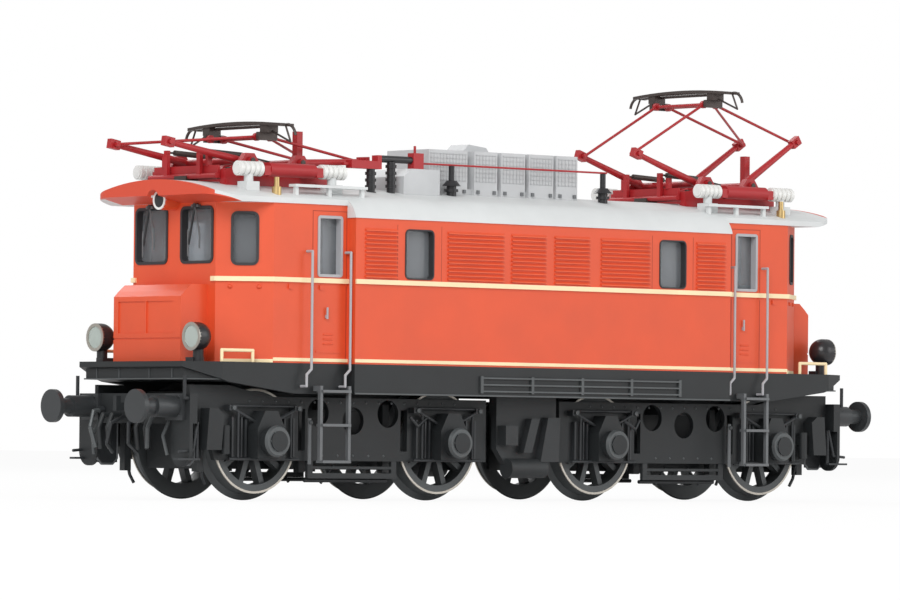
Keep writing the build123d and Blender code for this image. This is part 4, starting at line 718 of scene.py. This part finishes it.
def pantograph_base(middle, tail):
    """Springs, nuts, lifting cylinder, feet, posts and cross pipe on one pantograph base."""
    dark = Piece("panto_springs", HEAD_DARK)
    red = Piece("panto_feet", PANTO_RED)
    post_x = middle + SPRING_POST_X
    for side in (-1, 1):
        y = side * SPRING_Y
        near, far = middle - 9.2, middle - 2.6
        dark.rod((near, y, SPRING_Z), (far, y, SPRING_Z - 0.3), 0.42, 12)
        dark.rod((post_x, y, SPRING_Z), (near, y, SPRING_Z), 0.16, 8)
        dark.rod((far, y, SPRING_Z - 0.3), (middle + 2.6, y, SPRING_Z - 1.1), 0.16, 8)
        red.block(post_x - 0.3, post_x + 0.3, y - 0.4, y + 0.4, 47.6, SPRING_Z + 0.3)
        for x in (middle - FRAME_FOOT_X, middle + FRAME_FOOT_X):
            red.block(x - 0.9, x + 0.9, side * FRAME_FOOT_Y[0], side * FRAME_FOOT_Y[1], 46.3, 47.2)
            bolt_y = side * middle_of(FRAME_FOOT_Y)
            dark.rod((x, bolt_y, 48.75), (x, bolt_y, 49.1), 0.4, 6)
        for x in (middle - BASE_PIN_X, middle + BASE_PIN_X):
            dark.rod((x, side * 8.2, BASE_PIN_Z), (x, side * 9.35, BASE_PIN_Z), 0.45, 6)
        red.rod((post_x, side * 3.5, CROSS_PIPE_Z), (post_x, side * 8.0, CROSS_PIPE_Z), 0.4, 10)
    red.block(middle - 10.1, middle - 9.7, -7.6, 7.6, 47.4, 49.4)
    for y in (-5.2, 5.2):
        red.block(middle - 10.3, middle - 9.5, y - 0.3, y + 0.3, 49.3, 51.0)
    dark.rod((middle - 7.6, 0, CYLINDER_Z), (middle - 4.4, 0, CYLINDER_Z), 0.95, 20)
    dark.block(middle - 11.2, middle - 8.8, -1.4, 1.4, 47.1, 47.9)
    red.rod((middle - 4.4, 0, CYLINDER_Z), (middle - 1.0, 0, CYLINDER_Z + 1.0), 0.3, 10)
    red.rod((post_x, -3.5, CROSS_PIPE_Z), (post_x, 3.5, CROSS_PIPE_Z), 0.4, 10)
    dark.ride(tail=tail)
    red.ride(tail=tail)


window_frames()
sill_band_ends()
wiper_arms()
wall_trim()
louvre_highlights()
lamp_trim()
resistor_trim()
for turn, tail in ((None, "_a"), (TURN, "_b")):
    bogie_details(turn, tail)
    end_details(turn, tail)
wheel_trim()
platform_trim()
for middle, tail in zip(PANTO_X, ("_a", "_b")):
    pantograph_base(middle, tail)


# Studio and camera

FLOOR_REACH = 4.0
FLOOR_GLOW = 0.93
SURROUND_LIGHT = 0.55
SURROUND_SEEN = 1.0
AIM = Vector((0, 0, 0.03))

# Name, place and diameter in metres, and power in watts
LAMPS = (
    ("key", (-0.62, -0.50, 0.50), 0.50, 4.4),
    ("fill", (0.45, -0.65, 0.25), 0.50, 1.2),
    ("back", (0.10, 0.60, 0.55), 0.50, 2.2),
)

# Camera of the photograph, solved from the buffers, wheels and roof corners: place, then angles in radians
CAMERA_PLACE = (-588.879, -671.888, 8.234)
HEADING = 0.71529
PITCH = 0.02535
ROLL = 0.00985
FOCAL_PX = 5777.4
PHOTO_WIDTH_PX = 900
SENSOR_WIDTH_MM = 36.0


def studio_floor():
    """Pale floor that the camera sees almost white."""
    floor = bpy.data.meshes.new("floor")
    corners = [(x * FLOOR_REACH, y * FLOOR_REACH, 0) for x, y in ((-1, -1), (1, -1), (1, 1), (-1, 1))]
    floor.from_pydata(corners, [], [(0, 1, 2, 3)])
    ground = bpy.data.objects.new("floor", floor)
    bpy.context.scene.collection.objects.link(ground)
    pale = finish("floor_white", (0.86, 0.86, 0.86), 0.8, mottle=0.01, bump=0.0)
    nodes, links = pale.node_tree.nodes, pale.node_tree.links
    glow = nodes.new("ShaderNodeEmission")
    seen = nodes.new("ShaderNodeMath")
    seen.operation = "MULTIPLY"
    seen.inputs[1].default_value = FLOOR_GLOW
    links.new(nodes.new("ShaderNodeLightPath").outputs["Is Camera Ray"], seen.inputs[0])
    both = nodes.new("ShaderNodeMixShader")
    links.new(seen.outputs["Value"], both.inputs[0])
    links.new(nodes["Principled BSDF"].outputs["BSDF"], both.inputs[1])
    links.new(glow.outputs["Emission"], both.inputs[2])
    links.new(both.outputs["Shader"], nodes["Material Output"].inputs["Surface"])
    floor.materials.append(pale)


def surround():
    """White surround, softer as a light than as the camera sees it."""
    world = bpy.data.worlds.new("surround")
    bpy.context.scene.world = world
    world.use_nodes = True
    nodes, links = world.node_tree.nodes, world.node_tree.links
    back = nodes["Background"]
    back.inputs["Color"].default_value = (1, 1, 1, 1)
    ray = nodes.new("ShaderNodeLightPath")
    seen = nodes.new("ShaderNodeMath")
    seen.operation = "MAXIMUM"
    links.new(ray.outputs["Is Camera Ray"], seen.inputs[0])
    links.new(ray.outputs["Is Transmission Ray"], seen.inputs[1])
    level = nodes.new("ShaderNodeMapRange")
    level.inputs["To Min"].default_value = SURROUND_LIGHT
    level.inputs["To Max"].default_value = SURROUND_SEEN
    links.new(seen.outputs["Value"], level.inputs["Value"])
    links.new(level.outputs["Result"], back.inputs["Strength"])


def studio_lamps():
    """Soft round lamps aimed at the middle of the model."""
    for name, place, size, power in LAMPS:
        light = bpy.data.lights.new(name, "AREA")
        light.shape = "DISK"
        light.size = size
        light.energy = power
        lamp = bpy.data.objects.new(name, light)
        lamp.location = place
        lamp.rotation_mode = "QUATERNION"
        lamp.rotation_quaternion = (AIM - Vector(place)).to_track_quat("-Z", "Y")
        bpy.context.scene.collection.objects.link(lamp)


def photo_camera():
    """Camera of the photograph."""
    level = math.cos(PITCH)
    look = Vector((math.sin(HEADING) * level, math.cos(HEADING) * level, math.sin(PITCH)))
    right = Vector((math.cos(HEADING), -math.sin(HEADING), 0))
    up = right.cross(look)
    right_rolled = right * math.cos(ROLL) + up * math.sin(ROLL)
    up_rolled = up * math.cos(ROLL) - right * math.sin(ROLL)
    data = bpy.data.cameras.new("camera")
    data.sensor_width = SENSOR_WIDTH_MM
    data.lens = FOCAL_PX / PHOTO_WIDTH_PX * data.sensor_width
    data.clip_start = 0.05
    data.clip_end = 20.0
    camera = bpy.data.objects.new("camera", data)
    turn = Matrix((right_rolled, up_rolled, -look)).transposed()
    camera.matrix_world = Matrix.Translation(Vector(CAMERA_PLACE) * MM) @ turn.to_4x4()
    bpy.context.scene.collection.objects.link(camera)
    bpy.context.scene.camera = camera


studio_floor()
surround()
studio_lamps()
photo_camera()
bpy.context.scene.view_settings.view_transform = "Standard"
